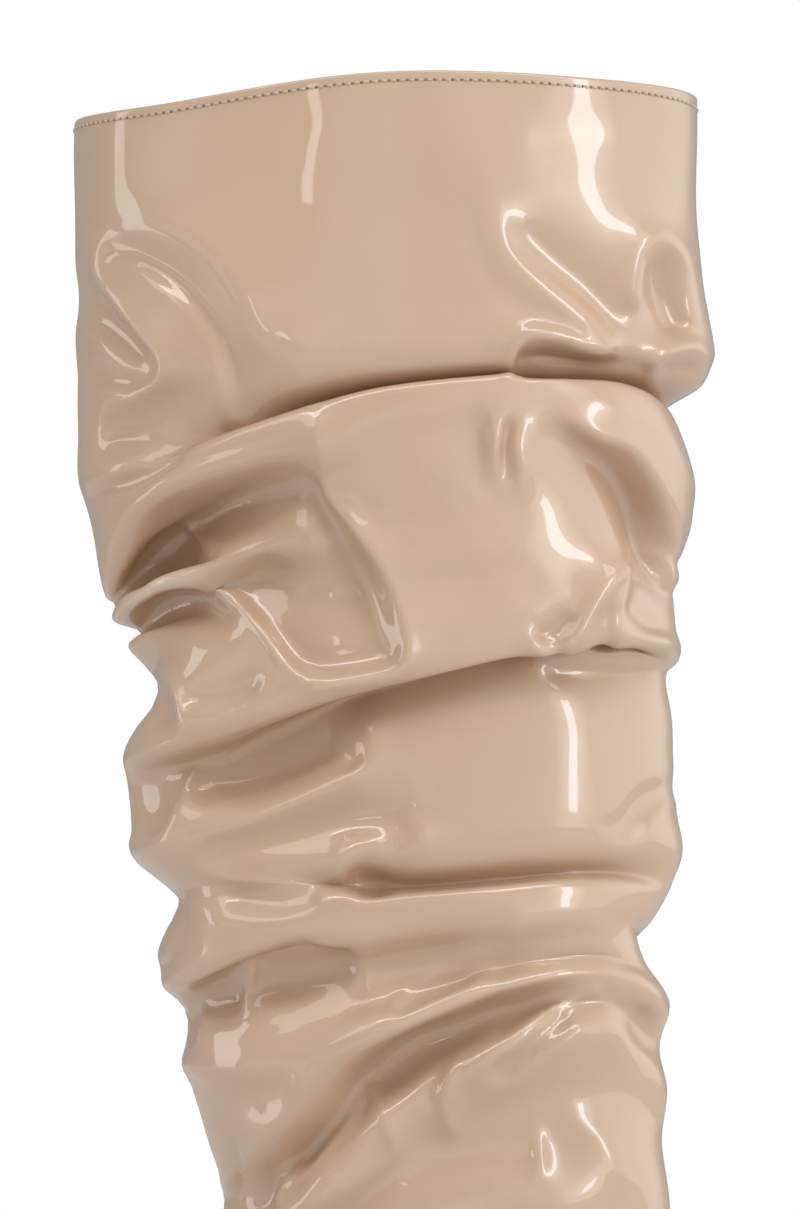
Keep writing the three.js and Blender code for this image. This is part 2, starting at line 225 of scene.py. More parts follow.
# The creases' relief on the side view: its cells in millimetres, from coarse to fine, how far the leather
# feels a crease, how firmly a crease holds it and to how many widths, and how the inner side differs
RELIEF_CELL = 0.8
RELIEF_LOW = (-50.0, 130.0)
RELIEF_CELLS = (256, 448)
RELIEF_LEVELS = (8, 4, 2, 1)
RELIEF_ROUNDS = 160
CREASE_SPREAD = 12
CREASE_HOLD = 3
CREASE_REACH = 3
NARROWEST_CELLS = 0.7
SIDE_BLEND = (-0.35, -0.1)
INNER_CREASE_DROP = 9
INNER_CREASE_SHARE = 0.7

# How open a fold is where its painted shade starts and where it is deepest, and the rays that find it
OPENNESS_RANGE = (0.97, 0.4)
OPENNESS_SAMPLES = 6

# The studio's floor and what its lights face, in metres
FLOOR_RADIUS = 3
FLOOR_SIDES = 96
SHAFT_MIDDLE = (-0.05, 0, 0.32)

# The studio's lights: name, azimuth right of the camera, elevation, distance, size, power and colour
LIGHTS = [
    ("key high", 38, 46, 2.2, (1.1, 0.7), 6, (0.9, 0.95, 1)),
    ("fill high", -48, 42, 2.2, (1.0, 0.8), 4, (1, 1, 1)),
    ("top strip", 0, 58, 2.0, (2.2, 0.3), 10, (1, 1, 1)),
    ("left box", -86, 6, 2.0, (0.5, 1.4), 5, (1, 1, 1)),
    ("bright column", 52, 12, 2.3, (0.24, 1.1), 4.4, (0.82, 0.9, 1)),
    ("left strip", -17, 8.8, 2.1, (0.10, 0.27), 0.25, (1, 1, 1)),
]

# Soft glows of the room: azimuth, elevation, inner and outer angle in degrees, and strength
GLOWS = [
    (52, 0, 1, 14, 1.4),
    (52, 12, 1, 14, 1.4),
    (52, 24, 1, 14, 1.4),
    (-4, 5, 2, 13, 0.6),
    (40, -10, 10, 50, 0.55),
    (100, 5, 5, 45, 1.15),
    (-60, 0, 4, 20, 0.6),
    (0, 80, 10, 60, 0.25),
    (0, -60, 10, 60, -0.08),
]

# How fine the surfaces are, in millimetres of leather between rows and in columns
OUTER_STEP = 1.2
OUTER_COLUMNS = 300
FOOT_STEP = 2.2
INNER_STEP = 2.0
INNER_COLUMNS = 200
LINING_STEP = 4.0
LINING_COLUMNS = 129
SEAM_COLUMNS = 2000
MEASURED_COLUMNS = 96
PLATE_COLUMNS = 140
PLATE_ROWS = 14
PLATE_TIP = 0.02

# The collar's fold and its stitching, in millimetres. The seam is one of three close rows of leather.
COLLAR_FOLD_STEPS = 9
COLLAR_TUCK = 9
COLLAR_TUCK_STEPS = 4
LINING_GAP = 0.15
LINING_DROP = 2.5
LINING_SLACK = 4
LINING_SLACK_RUN = 30
STITCH_DROP = 2.1
STITCH_PITCH = 2.4
STITCH_LENGTH = 1.6
THREAD_RADIUS = 0.42
# The needle holes are dark marks of painted shade, a little raised off the leather.
HOLE_SHADE_RADIUS = 0.42
HOLE_SHADE_RISE = 0.12
SEAM_ROWS = (0.8, 1, 1.2)

# The creases on the boot's side, read off the photo: name, width in millimetres, then places as
# pixels across, pixels down and height in millimetres. on_leg turns the pixels into the boot's own
# millimetres on the plane of the leg's middle. Heights below zero are troughs.
CREASES = [
    # top panel
    ("collar", 2, [
        (72, 118, 0), (150, 106, 0), (250, 86, 0), (357, 70, 0), (450, 72, 0), (560, 80, 0), (640, 88, 0),
        (690, 100, 0),
    ]),
    ("arc", 2.2, [
        (118, 224, 1), (140, 224, 1.6), (165, 227, 2.2), (190, 240, 2.6), (213, 255, 2.8),
        (229, 275, 2.8), (242, 298, 2.8), (256, 331, 2.6), (266, 340, 2.4), (278, 344, 2.2),
        (302, 346, 1.8),
    ]),
    ("arc valley", 3, [
        (112, 250, -1), (138, 262, -2.6), (165, 280, -3.2), (190, 305, -3.4), (212, 335, -3.4),
        (228, 365, -3), (240, 400, -1.5),
    ]),
    ("arc end", 1.6, [(278, 344, 1.8), (296, 358, 1.6), (304, 376, 1.2), (308, 397, 0.6)]),
    ("inner arc", 1.8, [
        (107, 262, 0.3), (138, 275, 0.8), (169, 295, 1.4), (198, 324, 1.8), (215, 353, 1.8),
        (220, 389, 1.8), (225, 415, 1.6), (238, 425, 1.2),
    ]),
    ("inner belly", 4, [(150, 320, 1.2), (180, 355, 1.4), (195, 382, 1)]),
    ("pocket ridge", 0.9, [
        (112, 228, 0.8), (100, 244, 1.4), (96, 262, 1.8), (98, 280, 2), (114, 298, 2.2), (129, 316, 2.4),
        (147, 338, 2.6), (162, 354, 2.6), (166, 368, 2.6), (158, 382, 2.2), (138, 393, 2),
        (122, 396, 1.6), (105, 391, 1),
    ]),
    ("pocket floor", 2.5, [(92, 290, -1.5), (105, 315, -3), (122, 335, -3.2), (140, 352, -2.4)]),
    ("pocket low", 2, [(98, 372, -1.5), (125, 382, -1.6), (145, 380, -1)]),
    ("pocket fold", 1.2, [(82, 331, 0), (114, 360, 0.4), (148, 370, 0.6)]),
    ("back fold", 2, [(118, 118, 0.8), (119, 170, 1.4), (118, 222, 1)]),
    ("mauve dent", 4, [(150, 402, -2.4), (172, 400, -2.8), (192, 396, -2.2)]),
    ("mauve low", 3, [(115, 425, -1.6), (135, 424, -2), (155, 418, -1.4)]),
    ("front ridge", 3, [
        (470, 180, 0.2), (481, 198, 1), (493, 227, 2), (504, 247, 2.6), (517, 263, 2.8), (537, 281, 3),
        (560, 299, 3.2), (580, 317, 3.4), (593, 334, 3.6), (602, 346, 3.8),
    ]),
    ("front facet", 1.6, [
        (467, 205, 0.2), (470, 235, 0.4), (475, 263, 0.7), (483, 285, 0.9), (491, 302, 1.1),
        (503, 318, 1.4), (517, 333, 2.2),
    ]),
    ("front valley", 3, [(528, 240, -1.6), (560, 270, -2.8), (592, 295, -3), (614, 320, -2)]),
    ("front return", 0.9, [
        (509, 376, 0.8), (511, 356, 2.4), (519, 339, 4), (530, 334, 4.4), (547, 335, 4.4),
        (566, 340, 4.2), (583, 347, 4), (600, 348, 4), (608, 345, 3),
    ]),
    ("front shelf", 2, [(516, 318, 1.2), (545, 318, 1.2), (572, 326, 1.8)]),
    ("front trough", 2.2, [
        (526, 359, -2.8), (550, 362, -4.2), (580, 368, -4.2), (610, 368, -3), (640, 370, -1.6),
    ]),
    ("front dent", 4, [(552, 140, -1), (590, 132, -1)]),
    ("right ridge", 1.2, [
        (634, 300, 1), (637, 262, 2.4), (643, 246, 3.2), (655, 236, 3.8), (668, 247, 3.8),
        (681, 263, 3.2), (690, 290, 2), (696, 320, 1.2),
    ]),
    ("right hollow", 2.4, [(660, 272, -2.4), (669, 296, -4.6), (679, 322, -4.4)]),
    ("right pocket", 1.2, [(655, 362, 1.6), (668, 352, 2.4), (690, 347, 2.6), (704, 356, 2)]),
    ("right dent", 1.8, [(674, 370, -2.2), (692, 370, -2.2)]),
    # the upward lip and the flap it ends in
    ("flap crest", 1.1, [
        (108, 500, 1), (139, 500, 1.6), (160, 486, 1.8), (181, 471, 1.8), (205, 452, 1.6),
        (236, 433, 1.2), (263, 422, 0.8), (291, 410, 0.4), (329, 400, 0), (380, 396, 0), (438, 386, 0),
        (511, 384, 0), (573, 378, 0), (648, 379, 0),
    ]),
    ("thin one", 0.9, [(105, 404, 1.2), (96, 440, 1), (87, 476, 0.8)]),
    ("thin two", 0.9, [(87, 484, 0.8), (111, 471, 1.4), (139, 459, 1.4), (163, 452, 1.2), (187, 450, 0.5)]),
    ("flap valley", 1.8, [(100, 492, -1), (125, 484, -2), (150, 471, -2), (176, 457, -1.4)]),
    ("flap edge", 0.9, [
        (114, 590, 0.8), (120, 575, 1.4), (127, 562, 1.8), (139, 545, 2), (156, 529, 2), (174, 519, 1.8),
        (198, 504, 1.5), (218, 490, 1.1), (243, 478, 0.6), (263, 472, 0.2), (284, 474, 0),
    ]),
    ("under flap", 1.8, [
        (150, 548, -5), (170, 538, -6), (195, 524, -5), (225, 510, -4), (255, 500, -3), (290, 492, -2),
    ]),
    ("deep hole", 2.5, [(138, 578, -4), (152, 562, -7), (175, 553, -7), (194, 550, -5)]),
    ("hole edge", 1, [(184, 529, -1.2), (201, 538, -1), (208, 552, -2.4)]),
    ("hole fan", 1.3, [(201, 538, -1), (225, 520, -1), (250, 509, -1), (282, 500, -0.8)]),
    # the loop and the second roll
    ("loop rim", 0.8, [
        (317, 421, 1.6), (319, 448, 3), (324, 469, 3.6), (332, 497, 3.8), (346, 517, 4), (364, 538, 4.2),
        (381, 559, 4.2), (393, 590, 4.2), (402, 621, 4), (408, 645, 3.8), (407, 659, 3.6),
        (398, 669, 3.2), (381, 675, 2.8), (357, 679, 2.8), (332, 682, 2.8), (315, 683, 2.8),
    ]),
    ("second roll", 1.1, [
        (126, 608, 1), (144, 593, 2.4), (160, 583, 3), (180, 577, 3.4), (201, 578, 3.4), (218, 587, 3.4),
        (236, 604, 3.4), (253, 621, 3.2), (270, 642, 3), (284, 661, 2.8), (298, 675, 2.8),
        (315, 683, 2.8),
    ]),
    ("loop slope", 2.6, [
        (318, 490, -1.6), (335, 530, -2.6), (355, 570, -3.2), (368, 605, -3.2), (372, 635, -2.6),
    ]),
    ("basin bulge", 3.5, [(298, 505, 0.6), (312, 535, 0.8), (318, 560, 0.2)]),
    ("basin dent", 2.4, [(262, 570, -3), (278, 582, -3)]),
    ("basin low", 2.4, [
        (250, 598, -1.6), (285, 642, -2.8), (312, 664, -2.6), (350, 662, -2.6), (385, 655, -2.2),
    ]),
    ("second hollow", 2, [(150, 612, -3.4), (172, 604, -4), (200, 604, -3.6), (222, 616, -2.2)]),
    ("face", 5, [(170, 640, 0.2), (200, 652, 0.4), (240, 668, 0)]),
    ("lower arc", 1.1, [
        (234, 607, 0.8), (250, 624, 1), (263, 642, 1.2), (274, 669, 1.4), (267, 694, 1.8), (253, 707, 2),
        (222, 714, 2.2), (184, 718, 2.4),
    ]),
    ("arc inside", 1.8, [(196, 700, -0.8), (225, 698, -1.2), (250, 684, -1.2)]),
    ("face corner", 0.8, [(160, 668, 0.5), (172, 684, 1.5), (180, 700, 2.2), (184, 719, 2.4)]),
    ("corner hollow", 1.8, [(160, 700, -2.4), (166, 716, -2.6)]),
    # right of the loop
    ("pale patch", 2.2, [(374, 512, 0.8), (386, 520, 1.1), (400, 522, 0.8)]),
    ("stroke one", 1.6, [(500, 414, 1), (496, 440, 2.6), (494, 472, 0.8)]),
    ("stroke gap", 1.6, [(509, 428, -1.6), (508, 448, -2), (510, 474, -1.2)]),
    ("stroke two", 1.2, [(520, 422, 1), (515, 444, 1.8), (518, 470, 1.6), (522, 494, 0.6)]),
    ("stroke far", 2.4, [(478, 420, -1.2), (481, 450, -1.6), (486, 480, -1)]),
    ("streak one", 2.6, [
        (445, 482, 0.4), (456, 513, 0.9), (477, 550, 1.3), (499, 578, 1.5), (514, 596, 1.5),
        (539, 618, 1),
    ]),
    ("streak two", 2.6, [
        (466, 497, 0.4), (484, 519, 0.9), (505, 541, 1.2), (524, 565, 1.4), (545, 581, 1.4),
        (564, 590, 1.2), (576, 603, 0.8),
    ]),
    ("dark run", 1.8, [
        (560, 434, -1.8), (592, 450, -4.6), (622, 474, -6.6), (643, 505, -8), (657, 535, -8.6),
        (665, 565, -8), (671, 590, -4),
    ]),
    ("bright one", 1.5, [
        (573, 417, 1.6), (586, 430, 3), (601, 439, 3.4), (615, 443, 3.2), (629, 448, 3.2), (646, 470, 3),
        (660, 500, 2.8), (672, 540, 2.2), (679, 580, 1),
    ]),
    ("bright two", 1.4, [(597, 402, 1.4), (615, 412, 2), (634, 424, 1.6)]),
    # beak
    ("beak left", 1.1, [(621, 569, 3.4), (606, 582, 4), (590, 607, 4.2), (576, 628, 4), (566, 640, 3.4)]),
    ("beak face", 2, [(604, 612, 0.8), (600, 640, 0.6)]),
    ("beak right", 1.1, [
        (621, 569, 3.4), (615, 600, 3), (613, 622, 2.6), (618, 636, 2.4), (628, 643, 2.2), (646, 644, 2),
        (663, 640, 1.8),
    ]),
    ("beak gap", 1.2, [(566, 622, -0.8), (555, 632, -1.6), (542, 637, -1.6)]),
    ("beak pocket", 1.8, [(636, 606, -1.2), (650, 622, -2), (664, 630, -1.6)]),
    ("beak edge", 1.2, [
        (534, 644, 1.8), (552, 652, 2.6), (580, 656, 2.8), (610, 658, 2.8), (640, 659, 2.6),
        (669, 659, 2.4),
    ]),
    ("beak under", 1.4, [(556, 668, -1), (600, 670, -1), (640, 672, -0.8)]),
    # the overhang's edge
    ("overhang", 1.1, [
        (132, 757, 1), (155, 763, 1.2), (193, 755, 1.2), (219, 742, 0.9), (257, 726, 0.5),
        (295, 712, 0.3), (346, 696, 0), (397, 684, 0), (440, 671, 0), (482, 656, 0), (510, 647, 0),
    ]),
    # middle section
    ("facet left", 0.9, [
        (195, 768, 1.4), (189, 788, 2.4), (182, 811, 2.8), (169, 835, 2.6), (143, 853, 1.4),
    ]),
    ("facet floor", 2.5, [(148, 786, -1.4), (156, 805, -2.4), (158, 822, -2)]),
    ("crease b", 0.8, [(198, 763, 1.4), (218, 755, 1.6), (234, 744, 1.2), (247, 731, 0.6)]),
    ("fan one", 0.8, [
        (175, 857, 1.4), (192, 844, 1.8), (214, 834, 2.2), (247, 824, 2.4), (264, 816, 2.4),
        (296, 803, 2.4), (329, 788, 2.6), (355, 778, 2.8),
    ]),
    ("fan patch", 1.4, [(366, 712, 1), (374, 735, 2), (371, 762, 2.2), (355, 778, 2.8)]),
    ("patch left", 2, [(338, 740, -1.4), (352, 760, -1)]),
    ("dark bowl", 3, [(212, 792, -1.2), (250, 778, -3.6), (290, 760, -4.2), (330, 742, -3.4)]),
    ("bowl facet", 2.5, [(203, 786, 0.8), (222, 806, 0.4)]),
    ("lens upper", 3, [
        (215, 850, -1.2), (270, 835, -3), (330, 822, -3.6), (385, 816, -2.6), (408, 820, -0.8),
    ]),
    ("fan two", 0.8, [
        (171, 866, 1.4), (198, 868, 1.8), (231, 876, 2.2), (264, 883, 2.4), (296, 888, 2.4),
        (329, 895, 2.2), (355, 902, 1.4),
    ]),
    ("fan low", 2, [(240, 898, -0.8), (280, 904, -1.2), (310, 902, -0.8)]),
    ("blob", 1.5, [(342, 888, 1.8), (337, 868, 2.8), (350, 852, 2.8), (377, 844, 2)]),
    ("blob hollow", 2, [(360, 876, -1.6), (376, 884, -2.2)]),
    ("blob small", 1.5, [(414, 822, 1.6), (421, 838, 2.4), (408, 852, 1.6)]),
    ("flat ridge", 6, [
        (540, 684, 0.8), (556, 705, 1.2), (566, 730, 1.2), (568, 760, 1.2), (566, 788, 1.2),
        (559, 820, 1.2), (554, 850, 1), (549, 873, 0.6),
    ]),
    ("right patch", 1.1, [(608, 855, 0.6), (641, 845, 1), (650, 825, 1.4), (668, 803, 1.6)]),
    ("patch top", 1.6, [(609, 812, 0.9), (630, 786, 1), (667, 768, 1)]),
    ("patch floor", 2.5, [(625, 825, -0.8), (650, 795, -0.8)]),
    # the second lip
    ("second lip", 1, [
        (185, 896, 1), (198, 906, 1.5), (207, 911, 1.9), (216, 920, 2.2), (235, 924, 2.2),
        (263, 925, 1.9), (294, 920, 1.3), (315, 913, 0.8), (346, 906, 0.4), (393, 900, 0.2),
        (470, 892, 0), (551, 894, 0), (603, 897, 0),
    ]),
    ("lip edge", 1, [
        (170, 984, 1), (192, 979, 1.4), (216, 968, 1.6), (241, 957, 1.6), (266, 945, 1.4),
        (291, 936, 1.2), (315, 931, 0.8),
    ]),
    ("under lip", 1.8, [
        (205, 988, -3), (235, 974, -4), (270, 960, -4.2), (310, 952, -3.4), (345, 956, -2.6),
    ]),
    ("lip line", 0.8, [(315, 943, 0), (340, 947, 0.4), (365, 942, 0.6)]),
    # below it
    ("patch side", 1.3, [(360, 951, 1.2), (365, 973, 2.4), (374, 1007, 1.8)]),
    ("patch bottom", 1.4, [(300, 1018, 0.8), (345, 1012, 1.4), (374, 1005, 1.2)]),
    ("small fold", 1, [(249, 976, 1), (249, 995, 2.2), (248, 1012, 1)]),
    ("small gap", 1.2, [(238, 982, -1.4), (239, 1000, -1.2)]),
    ("soft level", 2, [(189, 1065, 1), (223, 1069, 1.9), (269, 1065, 2.2), (303, 1062, 2.2)]),
    ("mauve facet", 4, [(230, 1095, -1.2), (262, 1100, -2), (284, 1090, -1.2)]),
    ("facet side", 1.1, [
        (315, 1058, 2.2), (303, 1078, 2.4), (297, 1096, 2.4), (291, 1112, 2.2), (269, 1140, 1.9),
        (241, 1170, 1.5), (223, 1189, 1),
    ]),
    ("long line", 0.8, [
        (502, 968, 0.8), (487, 980, 1.4), (470, 993, 1.9), (424, 1014, 2.4), (377, 1033, 2.6),
        (346, 1047, 2.6), (322, 1056, 2.4), (315, 1058, 2.2),
    ]),
    ("line above", 0.8, [(458, 970, 1), (429, 978, 1.3), (400, 996, 1.2), (385, 1008, 0.8)]),
    ("line gap", 1.2, [(465, 982, -0.4), (430, 996, -0.6), (400, 1014, 0)]),
    ("long trough", 1.6, [
        (502, 1010, -1.6), (458, 1031, -3), (424, 1044, -3.8), (393, 1065, -4.2), (365, 1090, -4.2),
        (352, 1115, -3.6), (328, 1140, -3.6), (303, 1161, -3.4), (278, 1186, -2.8), (262, 1209, -2),
    ]),
    ("low roll", 0.9, [
        (371, 1092, 0), (359, 1100, 0.8), (353, 1115, 1.6), (328, 1149, 2), (315, 1167, 2),
        (297, 1174, 2), (284, 1186, 2), (281, 1205, 1.6),
    ]),
    ("low ridge", 0.9, [
        (383, 1112, 1.2), (390, 1133, 1.9), (393, 1149, 2.1), (383, 1161, 2.1), (359, 1177, 2),
        (328, 1195, 2), (312, 1205, 1.8),
    ]),
    ("low gap", 2, [(372, 1135, 0.2), (345, 1168, 0.1)]),
    ("fold four", 1, [
        (592, 989, 1.6), (574, 996, 1.8), (545, 1016, 2.2), (516, 1040, 2.6), (487, 1058, 2.2),
        (467, 1072, 1.6),
    ]),
    ("trough four", 1.8, [
        (502, 1022, -1.6), (531, 1001, -1.2), (563, 985, -0.8), (589, 976, -0.6), (621, 972, -0.4),
    ]),
    ("line four", 1.1, [
        (465, 1093, 0.6), (495, 1086, 1.2), (516, 1078, 1.4), (545, 1051, 1.9), (564, 1038, 2.1),
        (577, 1030, 2.2),
    ]),
    ("gap four", 1.8, [(500, 1070, -0.8), (530, 1048, -1.2), (560, 1020, -1)]),
    ("soft top", 2, [
        (505, 975, 0.6), (531, 957, 1.7), (560, 950, 2.1), (589, 948, 2.1), (612, 954, 1.9),
        (627, 965, 1.2),
    ]),
    ("lens side", 1.3, [
        (455, 962, 0.9), (487, 952, 1.7), (507, 938, 1.9), (516, 923, 1.7), (518, 908, 0.8),
    ]),
    ("lens low", 3, [(370, 925, -0.6), (420, 926, -0.6), (460, 925, -0.4), (492, 918, 0)]),
    ("glint line", 1.2, [
        (574, 1040, 1.2), (579, 1063, 1.2), (576, 1086, 1), (575, 1104, 1), (578, 1123, 1.4),
        (592, 1133, 1.8), (604, 1147, 2), (614, 1165, 2), (618, 1179, 1.8), (617, 1192, 1.2),
    ]),
    ("right soft", 2, [(580, 1008, 0.8), (606, 1000, 1.6), (633, 996, 1.7), (652, 1004, 1)]),
    ("right dark", 2.2, [(641, 1016, -2.2), (648, 1040, -3.2), (651, 1064, -2)]),
    ("hook", 0.9, [(458, 1066, 0.6), (447, 1084, 1.5), (441, 1104, 1.8), (451, 1130, 1.4)]),
    ("hook gap", 1.8, [(434, 1072, -2), (430, 1095, -2.2)]),
    ("low left", 4, [(440, 1152, -1.2), (485, 1152, -1.2)]),
    ("low right", 4, [(520, 1152, -1), (560, 1150, -1)]),
    ("low middle", 1.1, [(535, 1132, 0.8), (538, 1160, 1.3), (536, 1190, 0.8)]),
    ("low end", 1.4, [(493, 1190, 0.9), (550, 1200, 1.3), (600, 1192, 1.2)]),
    # back seam
    ("back pocket", 1.4, [(190, 1010, -2.6), (192, 1035, -3), (188, 1055, -2)]),
    ("pocket edge", 0.8, [(206, 1016, 1), (197, 1041, 1.1), (186, 1059, 0.8)]),
    ("seam line", 0.6, [
        (189, 1078, -0.8), (207, 1106, -1.1), (226, 1130, -1.1), (240, 1169, -1), (243, 1209, -0.8),
    ]),
    ("back slit", 0.6, [(187, 901, -0.5), (176, 936, -1.6), (167, 951, -2.2), (162, 968, -2)]),
]


def cubic(start, end, start_slope, end_slope, t, width=1):
    """A cubic from one value to the next over a width, t of the way along, with its slopes at both ends."""
    rest = 1 - t
    ends = start * rest**2 * (1 + 2 * t) + end * t**2 * (3 - 2 * t)
    return ends + width * t * rest * (start_slope * rest - end_slope * t)


def curve_of(x, y):
    """A smooth curve through points that never swings past them."""
    x = np.array(x, float)
    y = np.array(y, float)
    slope = np.diff(y) / np.diff(x)
    before = np.concatenate([slope[:1], slope])
    after = np.concatenate([slope, slope[-1:]])
    total = np.where(before * after > 0, before + after, 1)
    tangent = np.where(before * after > 0, 2 * before * after / total, 0)

    def at(value):
        i = np.clip(np.searchsorted(x, value, side="right") - 1, 0, len(x) - 2)
        width = x[i + 1] - x[i]
        t = np.clip((value - x[i]) / width, 0, 1)
        return cubic(y[i], y[i + 1], tangent[i], tangent[i + 1], t, width)

    return at


def mix(a, b, t):
    return a + (b - a) * t


def smooth_step(low, high, value):
    t = np.clip((value - low) / (high - low), 0, 1)
    return t * t * (3 - 2 * t)


def column_curve(table, column):
    """A smooth curve of one of a table's columns over its first."""
    return curve_of([row[0] for row in table], [row[column] for row in table])


girth_at = column_curve(SHAFT_FORM, 1)
lean_at = column_curve(SHAFT_FORM, 2)
heel_share_at = column_curve(SOLE_PROFILE, 1)
toe_share_at = column_curve(SOLE_PROFILE, 2)
OUTLINE_TURNS = [math.acos(1 - 2 * row[0]) for row in SOLE_OUTLINE]
outer_width_at = curve_of(OUTLINE_TURNS, [row[1] for row in SOLE_OUTLINE])
inner_width_at = curve_of(OUTLINE_TURNS, [row[2] for row in SOLE_OUTLINE])


def around(values, angle):
    """A fold's value at each angle: the inner side has the outer side's folds, turned and calmer."""
    inner = angle > math.pi
    mirrored = np.where(inner, 2 * math.pi - angle, angle)
    sine = np.sin(mirrored)
    turned = np.where(inner, mirrored + INNER_TURN * sine**2, mirrored)
    padded = np.array([values[1], *values, values[-2]], float)
    place = turned / math.pi * (len(values) - 1)
    i = np.clip(np.floor(place).astype(int), 0, len(values) - 2)
    start = (padded[i + 2] - padded[i]) / 2
    end = (padded[i + 3] - padded[i + 1]) / 2
    value = cubic(padded[i + 1], padded[i + 2], start, end, place - i)
    straight = mix(values[0], values[-1], mirrored / math.pi)
    return np.where(inner, mix(value, straight, INNER_CALM * sine), value)


def shaft_row(fold, angle):
    height = around(fold[1], angle) / 100
    girth = girth_at(height)
    half_length = mix(ANKLE_LENGTH, COLLAR_LENGTH, girth) / 2
    half_width = mix(ANKLE_WIDTH, COLLAR_WIDTH, girth) / 2
    middle = mix(ANKLE_CENTRE, COLLAR_CENTRE, lean_at(height))
    out_x = -np.cos(angle) * half_width
    out_y = -np.sin(angle) * half_length
    push = around(fold[2], angle) / 100 * FOLD_DEPTH / np.hypot(out_x, out_y)
    x = middle - np.cos(angle) * half_length + out_x * push
    y = -np.sin(angle) * half_width + out_y * push
    return np.stack([x, y, ANKLE_HEIGHT + height * SHAFT_HEIGHT], axis=-1)


def sole_bottom(x):
    along = x / FOOT_LENGTH
    return heel_share_at(along) * HEEL_HEIGHT + toe_share_at(along) * TOE_SPRING


def sole_top(x):
    return sole_bottom(x) + OUTSOLE_THICKNESS


def outline_at(along, angle):
    """The sole's half-width, below zero on the outer side."""
    turn = np.arccos(np.clip(1 - 2 * along, -1, 1))
    share = np.where(angle <= math.pi, -outer_width_at(turn), inner_width_at(turn))
    return share * BALL_WIDTH / 2


def edge_row(angle, outwards, height_at):
    """The sole's edge at each angle, moved outwards by a distance."""

    def edge(turn):
        along = (1 - np.cos(turn)) / 2
        return np.stack([along * FOOT_LENGTH, outline_at(along, np.mod(turn, 2 * math.pi))], axis=-1)

    step = 0.01
    run = edge(angle + step) - edge(angle - step)
    run /= np.linalg.norm(run, axis=-1, keepdims=True)
    here = edge(angle)
    x = here[:, 0] + run[:, 1] * outwards
    y = here[:, 1] - run[:, 0] * outwards
    return np.stack([x, y, height_at(x)], axis=-1)


def foot_row(ring, angle):
    back, front, rise, drop, width, outline_share, square, follow = ring
    t = (1 - np.cos(angle)) / 2
    x = mix(back, front, t) * FOOT_LENGTH
    oval = -np.sin(angle) * ANKLE_WIDTH / 2
    along = np.clip(mix(t * front, x / FOOT_LENGTH, t), 0, 1)
    outline = outline_at(along, angle) * np.sqrt(1 - t**square)
    seat = sole_top(0)
    back_z = mix(seat, ANKLE_HEIGHT, rise)
    front_z = drop * ANKLE_HEIGHT
    straight = mix(back_z, front_z, t)
    lift = mix(back_z - seat, front_z - sole_top(front * FOOT_LENGTH), t)
    z = mix(straight, sole_top(x) + lift, follow)
    return np.stack([x, mix(oval, outline, outline_share) * width, z], axis=-1)


def upper_rows(angle):
    """The upper's rings from the collar to the sole's edge, as in the solids."""
    rows = [shaft_row(fold, angle) for fold in FOLDS]
    rows += [foot_row(ring, angle) for ring in FOOT]
    rows.append(edge_row(angle, 0, lambda x: sole_top(x) + SEAM_GAP))
    return np.stack(rows)


def row_places():
    """Where each ring lies along the upper, spaced by the root of the leather between them."""
    rows = upper_rows(np.linspace(0, 2 * math.pi, MEASURED_COLUMNS + 1)[:-1])
    steps = np.linalg.norm(np.diff(rows, axis=0), axis=-1).mean(axis=1)
    return np.concatenate([[0], np.cumsum(np.sqrt(steps))]), steps


ROW_PLACES, ROW_STEPS = row_places()


def fine_places(leg_step, foot_step):
    """Places along the upper about one step of leather apart, each ring among them."""
    places = []
    for k, length in enumerate(ROW_STEPS):
        step = leg_step if k < len(FOLDS) - 1 else foot_step
        count = max(2, round(length / step) + 1)
        places.append(np.linspace(ROW_PLACES[k], ROW_PLACES[k + 1], count)[:-1])
    return np.concatenate([*places, ROW_PLACES[-1:]])


def upper_points(places, angle):
    """A smooth surface through the upper's rings."""
    rows = upper_rows(angle)
    knots = ROW_PLACES
    slope = np.diff(rows, axis=0) / np.diff(knots)[:, None, None]
    left = np.diff(knots)[:-1, None, None]
    right = np.diff(knots)[1:, None, None]
    inside = (slope[:-1] * right + slope[1:] * left) / (left + right)
    tangent = np.concatenate([slope[:1], inside, slope[-1:]])
    i = np.clip(np.searchsorted(knots, places, side="right") - 1, 0, len(knots) - 2)
    width = (knots[i + 1] - knots[i])[:, None, None]
    t = (places - knots[i])[:, None, None] / width
    return cubic(rows[i], rows[i + 1], tangent[i], tangent[i + 1], t, width)


def normals_of(points):
    """Outward normals of a grid whose rows run down and whose columns run from the back by the outer side."""
    down = np.gradient(points, axis=0)
    along = np.gradient(points, axis=1)
    normal = np.cross(down, along)
    return normal / np.maximum(np.linalg.norm(normal, axis=-1, keepdims=True), 1e-9)


def on_leg(across, down):
    """A place of the photo as along and up on the plane of the leg's middle, to half a millimetre."""
    along = CAMERA_ALONG + MM_PER_PIXEL * (across - PHOTO_WIDTH / 2)
    rise = CAMERA_PITCH + math.atan((PHOTO_HEIGHT / 2 - down) / FOCAL_PIXELS)
    up = CAMERA_UP + CAMERA_AWAY * math.tan(rise)
    return round(along * 2) / 2, round(up * 2) / 2


def smooth_path(points, pieces=8):
    """A crease's places, in millimetres, joined by a smooth line."""
    p = np.array([(*on_leg(across, down), height) for across, down, height in points])
    if len(p) < 3:
        return p
    padded = np.concatenate([2 * p[:1] - p[1:2], p, 2 * p[-1:] - p[-2:-1]])
    t = (np.arange(pieces) / pieces)[:, None]
    spans = []
    for a, b, c, d in zip(padded, padded[1:], padded[2:], padded[3:]):
        squared = a - 2.5 * b + 2 * c - d / 2
        cubed = 1.5 * (b - c) + (d - a) / 2
        spans.append(b + (c - a) / 2 * t + squared * t**2 + cubed * t**3)
    return np.concatenate([*spans, p[-1:]])


